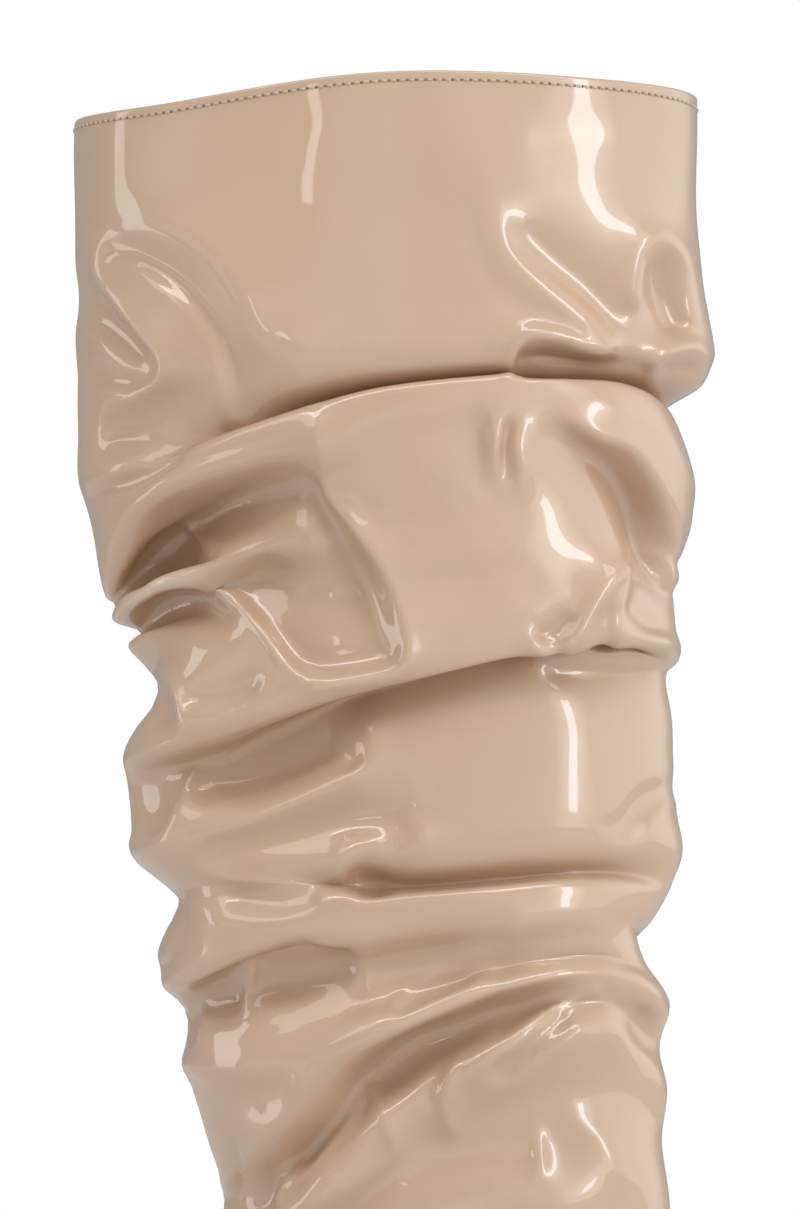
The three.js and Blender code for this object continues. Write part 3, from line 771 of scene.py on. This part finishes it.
def nearest_on(path, x, z):
    """Distance to the nearest place on a path, and the path's height there."""
    nearest = np.full(x.shape, np.inf)
    height = np.zeros(x.shape)
    for start, end in zip(path, path[1:]):
        run = end[:2] - start[:2]
        share = ((x - start[0]) * run[0] + (z - start[1]) * run[1]) / run.dot(run)
        share = np.clip(share, 0, 1)
        distance = np.hypot(x - start[0] - run[0] * share, z - start[1] - run[1] * share)
        closer = distance < nearest
        nearest = np.where(closer, distance, nearest)
        height = np.where(closer, mix(start[2], end[2], share), height)
    return nearest, height


def crease_hold(cell, shape):
    """How firmly the creases hold the leather at each cell, and that hold times their height."""
    hold = np.zeros(shape)
    goal = np.zeros(shape)
    for _, width, points in CREASES:
        path = smooth_path(points)
        width = max(width, cell * NARROWEST_CELLS)
        reach = CREASE_REACH * width
        low = np.maximum((path[:, :2].min(axis=0) - reach - RELIEF_LOW) // cell, 0).astype(int)
        high = np.minimum((path[:, :2].max(axis=0) + reach - RELIEF_LOW) // cell + 2, shape).astype(int)
        cells = np.meshgrid(np.arange(low[0], high[0]), np.arange(low[1], high[1]), indexing="ij")
        x, z = (RELIEF_LOW[axis] + cells[axis] * cell for axis in range(2))
        distance, height = nearest_on(path, x, z)
        here = CREASE_HOLD / width**2 * np.exp(-((distance / width) ** 2))
        hold[low[0]:high[0], low[1]:high[1]] += here
        goal[low[0]:high[0], low[1]:high[1]] += here * height
    return hold, goal


def relief_map():
    """The leather stretched like a skin between the creases that hold it, from coarse cells to fine."""
    relief = None
    for level in RELIEF_LEVELS:
        cell = RELIEF_CELL * level
        shape = tuple(count // level for count in RELIEF_CELLS)
        hold, goal = crease_hold(cell, shape)
        share = cell**2 / 4
        below = 1 + share * (hold + 1 / CREASE_SPREAD**2)
        relief = np.zeros(shape) if relief is None else np.kron(relief, np.ones((2, 2)))
        for _ in range(RELIEF_ROUNDS):
            wide = np.pad(relief, 1)
            around_it = wide[:-2, 1:-1] + wide[2:, 1:-1] + wide[1:-1, :-2] + wide[1:-1, 2:]
            relief = (around_it / 4 + share * goal) / below
    return relief


RELIEF = relief_map()


def crease_relief(x, z):
    """How far the creases lift or sink the leather at places of the side view."""
    column = np.clip((x - RELIEF_LOW[0]) / RELIEF_CELL, 0, RELIEF_CELLS[0] - 1.001)
    row = np.clip((z - RELIEF_LOW[1]) / RELIEF_CELL, 0, RELIEF_CELLS[1] - 1.001)
    i = column.astype(int)
    j = row.astype(int)
    s = column - i
    t = row - j
    near = mix(RELIEF[i, j], RELIEF[i, j + 1], t)
    return mix(near, mix(RELIEF[i + 1, j], RELIEF[i + 1, j + 1], t), s)


def side_view(points, outer):
    """Where the camera sees each point on the plane of the leg's middle, or its mirror on the inner side."""
    towards = points[..., 1] if outer else -points[..., 1]
    scale = CAMERA_AWAY / (CAMERA_AWAY + towards)
    x = CAMERA_ALONG + (points[..., 0] - CAMERA_ALONG) * scale
    z = CAMERA_UP + (points[..., 2] - CAMERA_UP) * scale
    return x, z


def relief_of(points, turn):
    """The creases of the outer side, and the same ones calmer and lower on the inner side."""
    outer_share = smooth_step(*SIDE_BLEND, np.sin(turn))
    x, z = side_view(points, True)
    relief = crease_relief(x, z) * outer_share
    x, z = side_view(points, False)
    return relief + crease_relief(x, z + INNER_CREASE_DROP) * INNER_CREASE_SHARE * (1 - outer_share)


def creased(places, angle):
    """The upper's surface with its creases. Angles may run a little past a whole turn."""
    turn = np.mod(angle, 2 * math.pi)
    points = upper_points(places, turn)
    normal = normals_of(points)
    return points + normal * relief_of(points, turn)[..., None]


def to_frame(points):
    return (points - ORIGIN) * MM


def new_object(name, mesh):
    piece = bpy.data.objects.new(name, mesh)
    bpy.context.scene.collection.objects.link(piece)
    return piece


def finish_piece(piece, material, slot, *nodes):
    piece.data.materials.clear()
    piece.data.materials.append(material)
    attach(piece, "root")
    if nodes:
        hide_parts(*nodes)


def grid_piece(name, points, normals=None):
    """A grid mesh laid on an array of points, in millimetres from the heel's back."""
    rows, columns = points.shape[:2]
    bm = bmesh.new()
    bmesh.ops.create_grid(bm, x_segments=columns - 1, y_segments=rows - 1, size=1, calc_uvs=True)
    mesh = bpy.data.meshes.new(name)
    bm.to_mesh(mesh)
    bm.free()
    flat = np.empty(len(mesh.vertices) * 3, np.float32)
    mesh.vertices.foreach_get("co", flat)
    flat = flat.reshape(-1, 3)
    column = np.rint((flat[:, 0] + 1) / 2 * (columns - 1)).astype(int)
    row = np.rint((flat[:, 1] + 1) / 2 * (rows - 1)).astype(int)
    mesh.vertices.foreach_set("co", to_frame(points[row, column]).astype(np.float32).ravel())
    mesh.polygons.foreach_set("use_smooth", [True] * len(mesh.polygons))
    mesh.update()
    first = mesh.polygons[len(mesh.polygons) // 2]
    if normals is not None:
        wanted = normals[row, column]
        if Vector(wanted[first.vertices[0]]).dot(first.normal) < 0:
            mesh.flip_normals()
        mesh.normals_split_custom_set_from_vertices(wanted.tolist())
    return new_object(name, mesh)


def side_panels(side, first, last, columns, places, material):
    """One side of the upper as a leg, which starts inside the collar's fold, and a foot."""
    step = (last - first) / (columns - 1)
    angle = first + step * np.arange(-1, columns + 1)
    outside = creased(places, angle)
    normal = normals_of(outside)
    turn = np.linspace(0, math.pi, COLLAR_FOLD_STEPS)[:-1, None, None]
    flat_normal = normal[:1] * np.array([1, 1, 0])
    flat_normal /= np.linalg.norm(flat_normal, axis=-1, keepdims=True)
    up = np.array([0, 0, 1.0])
    half_wall = UPPER_WALL / 2
    bend = outside[:1] - flat_normal * half_wall
    edge = bend - flat_normal * half_wall * np.cos(turn) + up * half_wall * np.sin(turn)
    inner_edge = outside[:1] - flat_normal * UPPER_WALL
    tuck = inner_edge - up * COLLAR_TUCK * np.linspace(1, 0, COLLAR_TUCK_STEPS)[:-1, None, None]
    whole = np.concatenate([tuck, edge, outside])
    whole_normal = normals_of(whole)
    ankle = len(whole) - len(places) + int(np.searchsorted(places, ROW_PLACES[len(FOLDS) - 1]))
    for part, rows in (("leg", slice(0, ankle + 1)), ("foot", slice(ankle, None))):
        piece = grid_piece(f"{part}_{side}", whole[rows, 1:-1], whole_normal[rows, 1:-1])
        finish_piece(piece, material, "patent_leather", "upper")


def add_node(tree, kind, inputs=None, **settings):
    """A new node with its settings, and its inputs set to values or joined to other nodes."""
    node = tree.nodes.new(kind)
    for key, value in settings.items():
        setattr(node, key, value)
    for key, value in (inputs or {}).items():
        if isinstance(value, bpy.types.NodeSocket):
            tree.links.new(value, node.inputs[key])
        else:
            node.inputs[key].default_value = value
    return node


class Node:
    """Short ways to add and join a material's nodes."""

    def __init__(self, name):
        self.material = bpy.data.materials.new(name)
        self.material.use_nodes = True
        self.tree = self.material.node_tree
        self.shader = self.tree.nodes["Principled BSDF"]

    def add(self, kind, inputs=None, **settings):
        return add_node(self.tree, kind, inputs, **settings)

    def place(self, scale=(1, 1, 1)):
        coordinates = self.add("ShaderNodeTexCoord").outputs["Object"]
        return self.add("ShaderNodeMapping", {"Vector": coordinates, "Scale": scale}).outputs["Vector"]

    def noise(self, vector, scale, detail=3, roughness=0.5):
        inputs = {"Vector": vector, "Scale": scale, "Detail": detail, "Roughness": roughness}
        return self.add("ShaderNodeTexNoise", inputs).outputs["Fac"]

    def ramp(self, value, stops):
        node = self.add("ShaderNodeValToRGB", {"Fac": value})
        elements = node.color_ramp.elements
        for element, (place, colour) in zip(elements, stops):
            element.position = place
            element.color = (*colour, 1)
        return node.outputs["Color"]

    def blend(self, share, under, over):
        inputs = {"Fac": share, "Color1": under, "Color2": (*over, 1)}
        return self.add("ShaderNodeMixRGB", inputs).outputs["Color"]

    def bump(self, height, distance, strength):
        inputs = {"Height": height, "Distance": distance, "Strength": strength}
        return self.add("ShaderNodeBump", inputs).outputs["Normal"]

    def link(self, output, name):
        self.tree.links.new(output, self.shader.inputs[name])

    def set(self, **values):
        for key, value in values.items():
            self.shader.inputs[key.replace("_", " ")].default_value = value


def shade(colour, share):
    return tuple(channel * share for channel in colour)


def look_range(ends, top):
    """Settings of a map range node from nothing to a top value."""
    return {"From Min": ends[0], "From Max": ends[1], "To Min": 0.0, "To Max": top}


def patent_material(look):
    """Patent leather: a clear hard coat over softly toned, faintly rippled leather, with a painted highlight
    on sharp crests and painted shade deep in the folds.
    """
    node = Node("patent leather")
    colour = tuple(look.leather_colour)
    place = node.place()
    tone = node.noise(place, 14, 3)
    leather = node.ramp(tone, [(0.35, shade(colour, 0.94)), (0.65, shade(colour, 1.03))])
    # Painted highlight: the leather is paled where the surface bends to a sharp crest, standing in for the
    # coat's reflections along the crests.
    bend = node.add("ShaderNodeNewGeometry").outputs["Pointiness"]
    crest = look_range(look.crest_highlight_range, look.crest_highlight_share)
    stretched = node.add("ShaderNodeMapRange", {"Value": bend, **crest}).outputs["Result"]
    # Painted shade: the leather is darkened to a deep brown where nearby leather closes it in, standing in
    # for the shade deep in the folds.
    reach = {"Distance": look.hollow_shade_reach}
    openness = node.add("ShaderNodeAmbientOcclusion", reach, samples=OPENNESS_SAMPLES).outputs["AO"]
    hollow = look_range(OPENNESS_RANGE, look.hollow_shade_depth)
    sunk = node.add("ShaderNodeMapRange", {"Value": openness, **hollow}).outputs["Result"]
    leather = node.blend(sunk, leather, look.hollow_shade_colour)
    node.link(node.blend(stretched, leather, look.crest_highlight_colour), "Base Color")
    ripple = node.noise(place, look.ripple_scale, 1, 0.3)
    node.link(node.bump(ripple, 0.002, look.ripple_strength), "Coat Normal")
    node.link(node.bump(node.noise(place, 700, 2), 0.0002, 0.25), "Normal")
    node.set(Roughness=0.42, Coat_Weight=1.0, Coat_Roughness=look.coat_roughness, Coat_IOR=1.6)
    node.set(Specular_IOR_Level=0.35)
    return node.material


def lining_material(look):
    """Matt lining leather with fine pores."""
    node = Node("lining leather")
    colour = tuple(look.lining_colour)
    place = node.place()
    tone = node.noise(place, 30, 4)
    node.link(node.ramp(tone, [(0.3, shade(colour, 0.85)), (0.7, colour)]), "Base Color")
    pores = node.noise(place, 900, 2)
    node.link(node.bump(pores, 0.0003, 0.5), "Normal")
    node.set(Roughness=0.62)
    return node.material


def thread_material(look):
    """Twisted polyester thread."""
    node = Node("thread")
    colour = tuple(look.thread_colour)
    place = node.place()
    twist = node.add("ShaderNodeTexWave", {"Vector": place, "Scale": 900.0}).outputs["Fac"]
    node.link(node.ramp(twist, [(0.2, shade(colour, 0.75)), (0.8, colour)]), "Base Color")
    node.set(Roughness=0.5)
    return node.material


def hole_shade_material(look):
    """Painted shade of a needle hole: a dark mark standing in for the shade inside the hole."""
    node = Node("needle hole_shades")
    tone = node.noise(node.place(), 500, 2)
    dark = shade(tuple(look.thread_colour), 0.3)
    node.link(node.ramp(tone, [(0.3, dark), (0.7, shade(dark, 1.4))]), "Base Color")
    node.set(Roughness=0.9)
    return node.material


def sole_material(look):
    """Smooth sole leather with a mottled tone and faint wear lines."""
    node = Node("sole leather")
    colour = tuple(look.sole_colour)
    place = node.place((1, 4, 1))
    tone = node.noise(place, 22, 5, 0.6)
    node.link(node.ramp(tone, [(0.3, shade(colour, 0.8)), (0.7, colour)]), "Base Color")
    fibres = node.noise(node.place((3, 12, 3)), 160, 3)
    node.link(node.bump(fibres, 0.0004, 0.35), "Normal")
    node.set(Roughness=0.48)
    return node.material


def rubber_material():
    """Hard matt rubber with a moulded grain."""
    node = Node("top piece rubber")
    place = node.place()
    tone = node.noise(place, 60, 4)
    node.link(node.ramp(tone, [(0.3, (0.10, 0.065, 0.04)), (0.7, (0.15, 0.10, 0.065))]), "Base Color")
    node.link(node.bump(node.noise(place, 1400, 2), 0.0003, 0.5), "Normal")
    node.set(Roughness=0.75)
    return node.material


def smooth_object(name, bm):
    """An object with smooth faces from a bmesh, which is freed."""
    mesh = bpy.data.meshes.new(name)
    bm.to_mesh(mesh)
    bm.free()
    mesh.polygons.foreach_set("use_smooth", [True] * len(mesh.polygons))
    return new_object(name, mesh)


def ring_edges(ring):
    pairs = zip(ring, ring[1:] + ring[:1])
    return [edge for a, b in pairs for edge in a.link_edges if edge.other_vert(a) is b]


def ring_body(name, rings, bevel):
    """A closed body from rings of points, capped at both ends, its rims rounded."""
    bm = bmesh.new()
    bmesh.ops.create_circle(bm, segments=len(rings[0]), radius=1)
    bm.verts.ensure_lookup_table()
    ring = list(bm.verts)
    every = [ring]
    for _ in rings[1:]:
        made = bmesh.ops.extrude_edge_only(bm, edges=ring_edges(ring))["geom"]
        fresh = {vert for vert in made if isinstance(vert, bmesh.types.BMVert)}
        ring = [next(e.other_vert(v) for e in v.link_edges if e.other_vert(v) in fresh) for v in ring]
        every.append(ring)
    for verts, points in zip(every, rings):
        for vert, point in zip(verts, to_frame(points)):
            vert.co = point
    rims = ring_edges(every[0]) + ring_edges(every[-1])
    bmesh.ops.contextual_create(bm, geom=ring_edges(every[0]))
    bmesh.ops.contextual_create(bm, geom=ring_edges(every[-1]))
    bmesh.ops.recalc_face_normals(bm, faces=bm.faces)
    bmesh.ops.bevel(bm, geom=rims, offset=bevel * MM, affect="EDGES", segments=4, profile=0.5, material=-1)
    body = smooth_object(name, bm)
    body.data.set_sharp_from_angle(angle=SHARP_ANGLE)
    return body


def plate(name, outwards, bottom, top, bevel):
    """A plate with the sole's outline between two heights."""
    turn = np.linspace(PLATE_TIP, math.pi - PLATE_TIP, PLATE_COLUMNS)
    outer = edge_row(turn, outwards, top)
    inner = edge_row(2 * math.pi - turn, outwards, top)
    bm = bmesh.new()
    bmesh.ops.create_grid(bm, x_segments=PLATE_COLUMNS - 1, y_segments=PLATE_ROWS - 1, size=1)
    for vert in bm.verts:
        i = round((vert.co.x + 1) / 2 * (PLATE_COLUMNS - 1))
        t = (vert.co.y + 1) / 2
        point = mix(outer[i], inner[i], t)
        vert.co = to_frame(np.array([point[0], point[1], top(point[0])]))
    made = bmesh.ops.extrude_face_region(bm, geom=list(bm.faces))["geom"]
    for vert in made:
        if isinstance(vert, bmesh.types.BMVert):
            x = vert.co.x / MM + ORIGIN[0]
            vert.co.z = float(bottom(x)) * MM
    bmesh.ops.recalc_face_normals(bm, faces=bm.faces)
    sharp = [e for e in bm.edges if len(e.link_faces) == 2 and e.calc_face_angle() > RIM_ANGLE]
    rims = [e for e in sharp if abs((e.verts[0].co - e.verts[1].co).normalized().z) < RIM_SLOPE]
    bmesh.ops.bevel(bm, geom=rims, offset=bevel * MM, affect="EDGES", segments=3, profile=0.5, material=-1)
    body = smooth_object(name, bm)
    body.data.set_sharp_from_angle(angle=SHARP_ANGLE)
    return body


def heel_ring(row, height_at):
    """A ring of the heel: a round back and sides that run to the corners of a slightly bowed breast."""
    _, inset, length, width = row
    angle = np.arange(HEEL_COLUMNS) / HEEL_COLUMNS * 2 * math.pi
    turn = np.where(angle <= math.pi, angle, 2 * math.pi - angle) / math.pi
    side = np.minimum(turn / HEEL_SIDE_SHARE, 1) * math.pi / 2
    across = np.maximum((turn - HEEL_SIDE_SHARE) / (1 - HEEL_SIDE_SHARE), 0)
    along = 1 - np.cos(side)
    bulge = BREAST_BULGE * (1 - (1 - across) ** 2)
    half = HEEL_WIDTH / 2 * width * np.sin(side) ** HEEL_ROUNDNESS * (1 - across)
    x = HEEL_SETBACK + (inset + along * length) * HEEL_LENGTH + bulge
    return np.stack([x, np.where(angle <= math.pi, -half, half), height_at(x)], axis=-1)


class BootLook(bpy.types.PropertyGroup):
    """Colours and finishes of the boot."""

    leather_colour: bpy.props.FloatVectorProperty(
        name="Leather colour",
        description="Colour of the patent leather under its coat",
        default=(0.58, 0.4, 0.268),
        subtype="COLOR",
        min=0,
        max=1,
    )
    # The next three set the painted shade: a dark brown laid in closed folds in place of their shade.
    hollow_shade_colour: bpy.props.FloatVectorProperty(
        name="Hollow colour",
        description="Colour of the painted shade deep in a fold",
        default=(0.4, 0.225, 0.118),
        subtype="COLOR",
        min=0,
        max=1,
    )
    hollow_shade_reach: bpy.props.FloatProperty(
        name="Hollow reach",
        description="How far round a place the leather counts as closing it in",
        default=0.02,
        unit="LENGTH",
    )
    hollow_shade_depth: bpy.props.FloatProperty(
        name="Hollow depth",
        description="Share of the hollow colour in the deepest folds",
        default=0.75,
        min=0,
        max=1,
    )
    # The next three set the painted highlight: a pale colour laid on sharp crests in place of the coat's
    # reflections there.
    crest_highlight_colour: bpy.props.FloatVectorProperty(
        name="Crest colour",
        description="Colour of the painted highlight on a sharp crest",
        default=(0.84, 0.71, 0.59),
        subtype="COLOR",
        min=0,
        max=1,
    )
    crest_highlight_range: bpy.props.FloatVectorProperty(
        name="Crest range",
        description="How sharp a crest is where it starts to pale, and where it is palest",
        default=(0.535, 0.62),
        size=2,
        min=0,
        max=1,
    )
    crest_highlight_share: bpy.props.FloatProperty(
        name="Crest share",
        description="Share of the crest colour on the sharpest crests",
        default=0.65,
        min=0,
        max=1,
    )
    lining_colour: bpy.props.FloatVectorProperty(
        name="Lining colour",
        description="Colour of the lining leather",
        default=(0.66, 0.55, 0.42),
        subtype="COLOR",
        min=0,
        max=1,
    )
    thread_colour: bpy.props.FloatVectorProperty(
        name="Thread colour",
        description="Colour of the stitching thread",
        default=(0.66, 0.52, 0.38),
        subtype="COLOR",
        min=0,
        max=1,
    )
    sole_colour: bpy.props.FloatVectorProperty(
        name="Sole colour",
        description="Colour of the outsole",
        default=(0.40, 0.25, 0.14),
        subtype="COLOR",
        min=0,
        max=1,
    )
    coat_roughness: bpy.props.FloatProperty(
        name="Coat roughness",
        description="Roughness of the patent coat",
        default=0.045,
        min=0,
        max=1,
    )
    ripple_scale: bpy.props.FloatProperty(
        name="Ripple scale",
        description="How close together the faint ripples of the coat lie",
        default=60,
        min=1,
    )
    ripple_strength: bpy.props.FloatProperty(
        name="Ripple strength",
        description="How strongly the coat ripples",
        default=0.12,
        min=0,
        max=1,
    )


class BootStage(bpy.types.PropertyGroup):
    """Lights of the studio."""

    light_power: bpy.props.FloatProperty(
        name="Light power",
        description="Power of each studio light, times its own share",
        default=1,
        min=0,
        unit="POWER",
    )
    room_light: bpy.props.FloatProperty(
        name="Room light",
        description="Strength of the light from all round",
        default=0.34,
        min=0,
    )


class BOOT_OT_upper(bpy.types.Operator):
    """Builds the folded and creased upper as an outer and an inner panel."""

    bl_idname = "boot.upper"
    bl_label = "Upper"

    def execute(self, context):
        material = patent_material(context.scene.boot_look)
        fine = 1
        places = fine_places(OUTER_STEP * fine, FOOT_STEP * fine)
        side_panels("outer", 0, math.pi, OUTER_COLUMNS // fine, places, material)
        places = fine_places(INNER_STEP * fine, FOOT_STEP * fine)
        side_panels("inner", math.pi, 2 * math.pi, INNER_COLUMNS // fine, places, material)
        return {"FINISHED"}


class BOOT_OT_lining(bpy.types.Operator):
    """Builds the lining inside the upper."""

    bl_idname = "boot.lining"
    bl_label = "Lining"

    def execute(self, context):
        places = fine_places(LINING_STEP, LINING_STEP)
        angle = np.linspace(0, 2 * math.pi, LINING_COLUMNS)
        points = upper_points(places, np.mod(angle, 2 * math.pi))
        normal = normals_of(points)
        flat = normal[0] * np.array([1, 1, 0])
        normal[0] = flat / np.linalg.norm(flat, axis=-1, keepdims=True)
        below_collar = smooth_step(0, LINING_SLACK_RUN, points[:1, :, 2] - points[..., 2])
        above_sole = smooth_step(0, LINING_SLACK_RUN, points[..., 2] - sole_top(points[..., 0]))
        sunk = np.maximum(-relief_of(points, np.mod(angle, 2 * math.pi)), 0)
        inset = UPPER_WALL + LINING_GAP + (LINING_SLACK + sunk) * below_collar * above_sole
        inside = points - normal * inset[..., None]
        inside[:, -1] = inside[:, 0]
        inside[0, :, 2] -= LINING_DROP
        piece = grid_piece("lining", inside, -normal)
        finish_piece(piece, lining_material(context.scene.boot_look), "sock_lining")
        return {"FINISHED"}


def sewn_row(name, starts, forward, outward, line, normal, walked):
    """Small ellipsoids along the collar, each from its place along the seam."""

    def along_seam(row, at):
        return np.array([np.interp(at, walked, row[:, axis]) for axis in range(3)])

    bm = bmesh.new()
    for at in starts:
        point = along_seam(line, at)
        out = Vector(along_seam(normal, at)).normalized()
        run = Vector(along_seam(line, (at + 1) % walked[-1]) - point)
        run = (run - out * run.dot(out)).normalized()
        turn = Matrix((run, out, run.cross(out))).transposed().to_4x4()
        place = Matrix.Translation(Vector(to_frame(point)))
        size = Matrix.Diagonal((forward * MM, outward * MM, THREAD_RADIUS * MM, 1))
        bmesh.ops.create_uvsphere(bm, u_segments=8, v_segments=6, radius=1, matrix=place @ turn @ size)
    return smooth_object(name, bm)


class BOOT_OT_stitching(bpy.types.Operator):
    """Sews the row of small stitches round the collar, with a dark mark of painted shade for a needle hole
    between each two.
    """

    bl_idname = "boot.stitching"
    bl_label = "Stitching"

    def execute(self, context):
        look = context.scene.boot_look
        angle = np.linspace(0, 2 * math.pi, SEAM_COLUMNS)
        drop = ROW_PLACES[1] * STITCH_DROP / ROW_STEPS[0]
        surface = creased(drop * np.array(SEAM_ROWS), angle)
        normal = normals_of(surface)[1]
        line = surface[1]
        walked = np.concatenate([[0], np.cumsum(np.linalg.norm(np.diff(line, axis=0), axis=-1))])
        count = round(walked[-1] / STITCH_PITCH)
        starts = walked[-1] * np.arange(count) / count
        seam = (line, normal, walked)
        stitches = sewn_row("collar_stitches", starts, STITCH_LENGTH / 2, THREAD_RADIUS, *seam)
        finish_piece(stitches, thread_material(look), "patent_leather")
        # Painted shade: a dark mark for each needle hole between the stitches.
        hole_shades = sewn_row("collar_hole_shades", starts + STITCH_PITCH / 2, HOLE_SHADE_RADIUS, HOLE_SHADE_RISE, *seam)
        finish_piece(hole_shades, hole_shade_material(look), "patent_leather")
        return {"FINISHED"}


class BOOT_OT_sole(bpy.types.Operator):
    """Builds the insole and the outsole."""

    bl_idname = "boot.sole"
    bl_label = "Sole"

    def execute(self, context):
        look = context.scene.boot_look
        outsole = plate("outsole_leather", SOLE_LEDGE, sole_bottom, sole_top, OUTSOLE_BEVEL)
        finish_piece(outsole, sole_material(look), "outsole", "outsole")

        def sock_bottom(x):
            return sole_top(x) + SEAM_GAP

        def sock_top(x):
            return sock_bottom(x) + INSOLE_THICKNESS

        sock = plate("sock_lining", -(UPPER_WALL + SEAM_GAP), sock_bottom, sock_top, SOCK_BEVEL)
        finish_piece(sock, lining_material(look), "sock_lining", "insole")
        return {"FINISHED"}


class BOOT_OT_heel(bpy.types.Operator):
    """Builds the covered block heel and its top piece."""

    bl_idname = "boot.heel"
    bl_label = "Heel"

    def execute(self, context):
        look = context.scene.boot_look
        foot = TOP_PIECE_THICKNESS + SEAM_GAP
        heights = np.linspace(1, 0, HEEL_RINGS)
        form = np.array(HEEL_FORM)[::-1]
        columns = [curve_of(form[:, 0], form[:, k])(heights) for k in (1, 2, 3)]
        rings = []
        for height, inset, length, width in zip(heights, *columns):
            row = (height, inset, length, width)
            rings.append(heel_ring(row, lambda x: mix(foot, sole_bottom(x) - SEAM_GAP, height)))
        block = ring_body("heel_cover", rings, HEEL_BEVEL)
        finish_piece(block, patent_material(look), "heel_cover", "heel")
        last = HEEL_FORM[-1]
        tip = [heel_ring(last, lambda x: x * 0 + z) for z in (TOP_PIECE_THICKNESS, 0)]
        piece = ring_body("heel_top_piece", tip, TOP_PIECE_BEVEL)
        finish_piece(piece, rubber_material(), "top_piece", "top_piece")
        return {"FINISHED"}


def direction(azimuth, elevation):
    """A direction from the boot: azimuth to the right of the camera's axis, both in degrees."""
    turn = math.radians(azimuth)
    rise = math.radians(elevation)
    return Vector((math.sin(turn) * math.cos(rise), -math.cos(turn) * math.cos(rise), math.sin(rise)))


def soft_light(name, azimuth, elevation, away, size, power, colour):
    """An area light, its size and distance in metres, that faces the shaft."""
    data = bpy.data.lights.new(name, "AREA")
    data.shape = "RECTANGLE"
    data.size, data.size_y = size
    data.energy = power
    data.color = colour
    light = bpy.data.objects.new(name, data)
    bpy.context.scene.collection.objects.link(light)
    facing = direction(azimuth, elevation)
    light.location = Vector(SHAFT_MIDDLE) + facing * away
    light.rotation_euler = (-facing).to_track_quat("-Z", "Y").to_euler()
    return light


def studio_world(stage):
    """White behind the boot, and a dim room with a few broad soft glows for what its coat reflects."""
    world = bpy.data.worlds.new("studio")
    world.use_nodes = True
    tree = world.node_tree
    towards = add_node(tree, "ShaderNodeTexCoord").outputs["Generated"]
    total = None
    for azimuth, elevation, inner, outer, strength in GLOWS:
        facing = direction(azimuth, elevation)
        product = add_node(tree, "ShaderNodeVectorMath", {0: towards, 1: facing}, operation="DOT_PRODUCT")
        ends = (math.cos(math.radians(outer)), math.cos(math.radians(inner)))
        edges = {"Value": product.outputs["Value"], **look_range(ends, strength)}
        glow = add_node(tree, "ShaderNodeMapRange", edges, interpolation_type="SMOOTHSTEP").outputs["Result"]
        start = stage.room_light if total is None else total
        total = add_node(tree, "ShaderNodeMath", {0: glow, 1: start}, operation="ADD").outputs["Value"]
    seen = add_node(tree, "ShaderNodeLightPath").outputs["Is Camera Ray"]
    choice = {"Factor": seen, "A": total, "B": 1.0}
    blend = add_node(tree, "ShaderNodeMix", choice, data_type="FLOAT").outputs["Result"]
    back = tree.nodes["Background"]
    back.inputs["Color"].default_value = (1, 1, 1, 1)
    tree.links.new(blend, back.inputs["Strength"])
    return world


class BOOT_OT_stage(bpy.types.Operator):
    """Sets the floor, the lights and the camera."""

    bl_idname = "boot.stage"
    bl_label = "Stage"

    def execute(self, context):
        stage = context.scene.boot_stage
        bm = bmesh.new()
        bmesh.ops.create_circle(bm, cap_ends=True, segments=FLOOR_SIDES, radius=FLOOR_RADIUS)
        mesh = bpy.data.meshes.new("floor")
        bm.to_mesh(mesh)
        bm.free()
        floor = new_object("floor", mesh)
        paint = Node("floor paint")
        tone = paint.noise(paint.place(), 6, 3)
        paint.link(paint.ramp(tone, [(0.3, (0.86,) * 3), (0.7, (0.9,) * 3)]), "Base Color")
        paint.set(Roughness=0.6)
        mesh.materials.append(paint.material)

        context.scene.world = studio_world(stage)
        for name, azimuth, elevation, away, size, power, colour in LIGHTS:
            soft_light(name, azimuth, elevation, away, size, power * stage.light_power, colour)

        data = bpy.data.cameras.new("camera")
        data.sensor_width = SENSOR_WIDTH
        data.lens = CAMERA_AWAY / MM_PER_PIXEL * SENSOR_WIDTH / PHOTO_HEIGHT
        data.clip_end = VIEW_REACH
        camera = bpy.data.objects.new("camera", data)
        context.scene.collection.objects.link(camera)
        eye = to_frame(np.array([CAMERA_ALONG, -CAMERA_AWAY, CAMERA_UP]))
        camera.location = eye
        camera.rotation_euler = (math.pi / 2 + CAMERA_PITCH, 0, 0)
        context.scene.camera = camera
        context.scene.view_settings.view_transform = "Standard"
        return {"FINISHED"}


STEPS = (BOOT_OT_upper, BOOT_OT_lining, BOOT_OT_stitching, BOOT_OT_sole, BOOT_OT_heel, BOOT_OT_stage)


class BOOT_PT_panel(bpy.types.Panel):
    """Lists the boot's steps and finishes."""

    bl_idname = "BOOT_PT_panel"
    bl_label = "Slouch boot"
    bl_space_type = "VIEW_3D"
    bl_region_type = "UI"
    bl_category = "Boot"

    def draw(self, context):
        for group in (context.scene.boot_look, context.scene.boot_stage):
            for name in group.__annotations__:
                self.layout.prop(group, name)
        for step in STEPS:
            self.layout.operator(step.bl_idname)


CLASSES = (BootLook, BootStage, *STEPS, BOOT_PT_panel)


def register():
    for each in CLASSES:
        bpy.utils.register_class(each)
    bpy.types.Scene.boot_look = bpy.props.PointerProperty(type=BootLook)
    bpy.types.Scene.boot_stage = bpy.props.PointerProperty(type=BootStage)


def unregister():
    del bpy.types.Scene.boot_look
    del bpy.types.Scene.boot_stage
    for each in reversed(CLASSES):
        bpy.utils.unregister_class(each)


def main():
    register()
    bpy.ops.boot.upper()
    bpy.ops.boot.lining()
    bpy.ops.boot.stitching()
    bpy.ops.boot.sole()
    bpy.ops.boot.heel()
    bpy.ops.boot.stage()


if __name__ == "__main__":
    main()
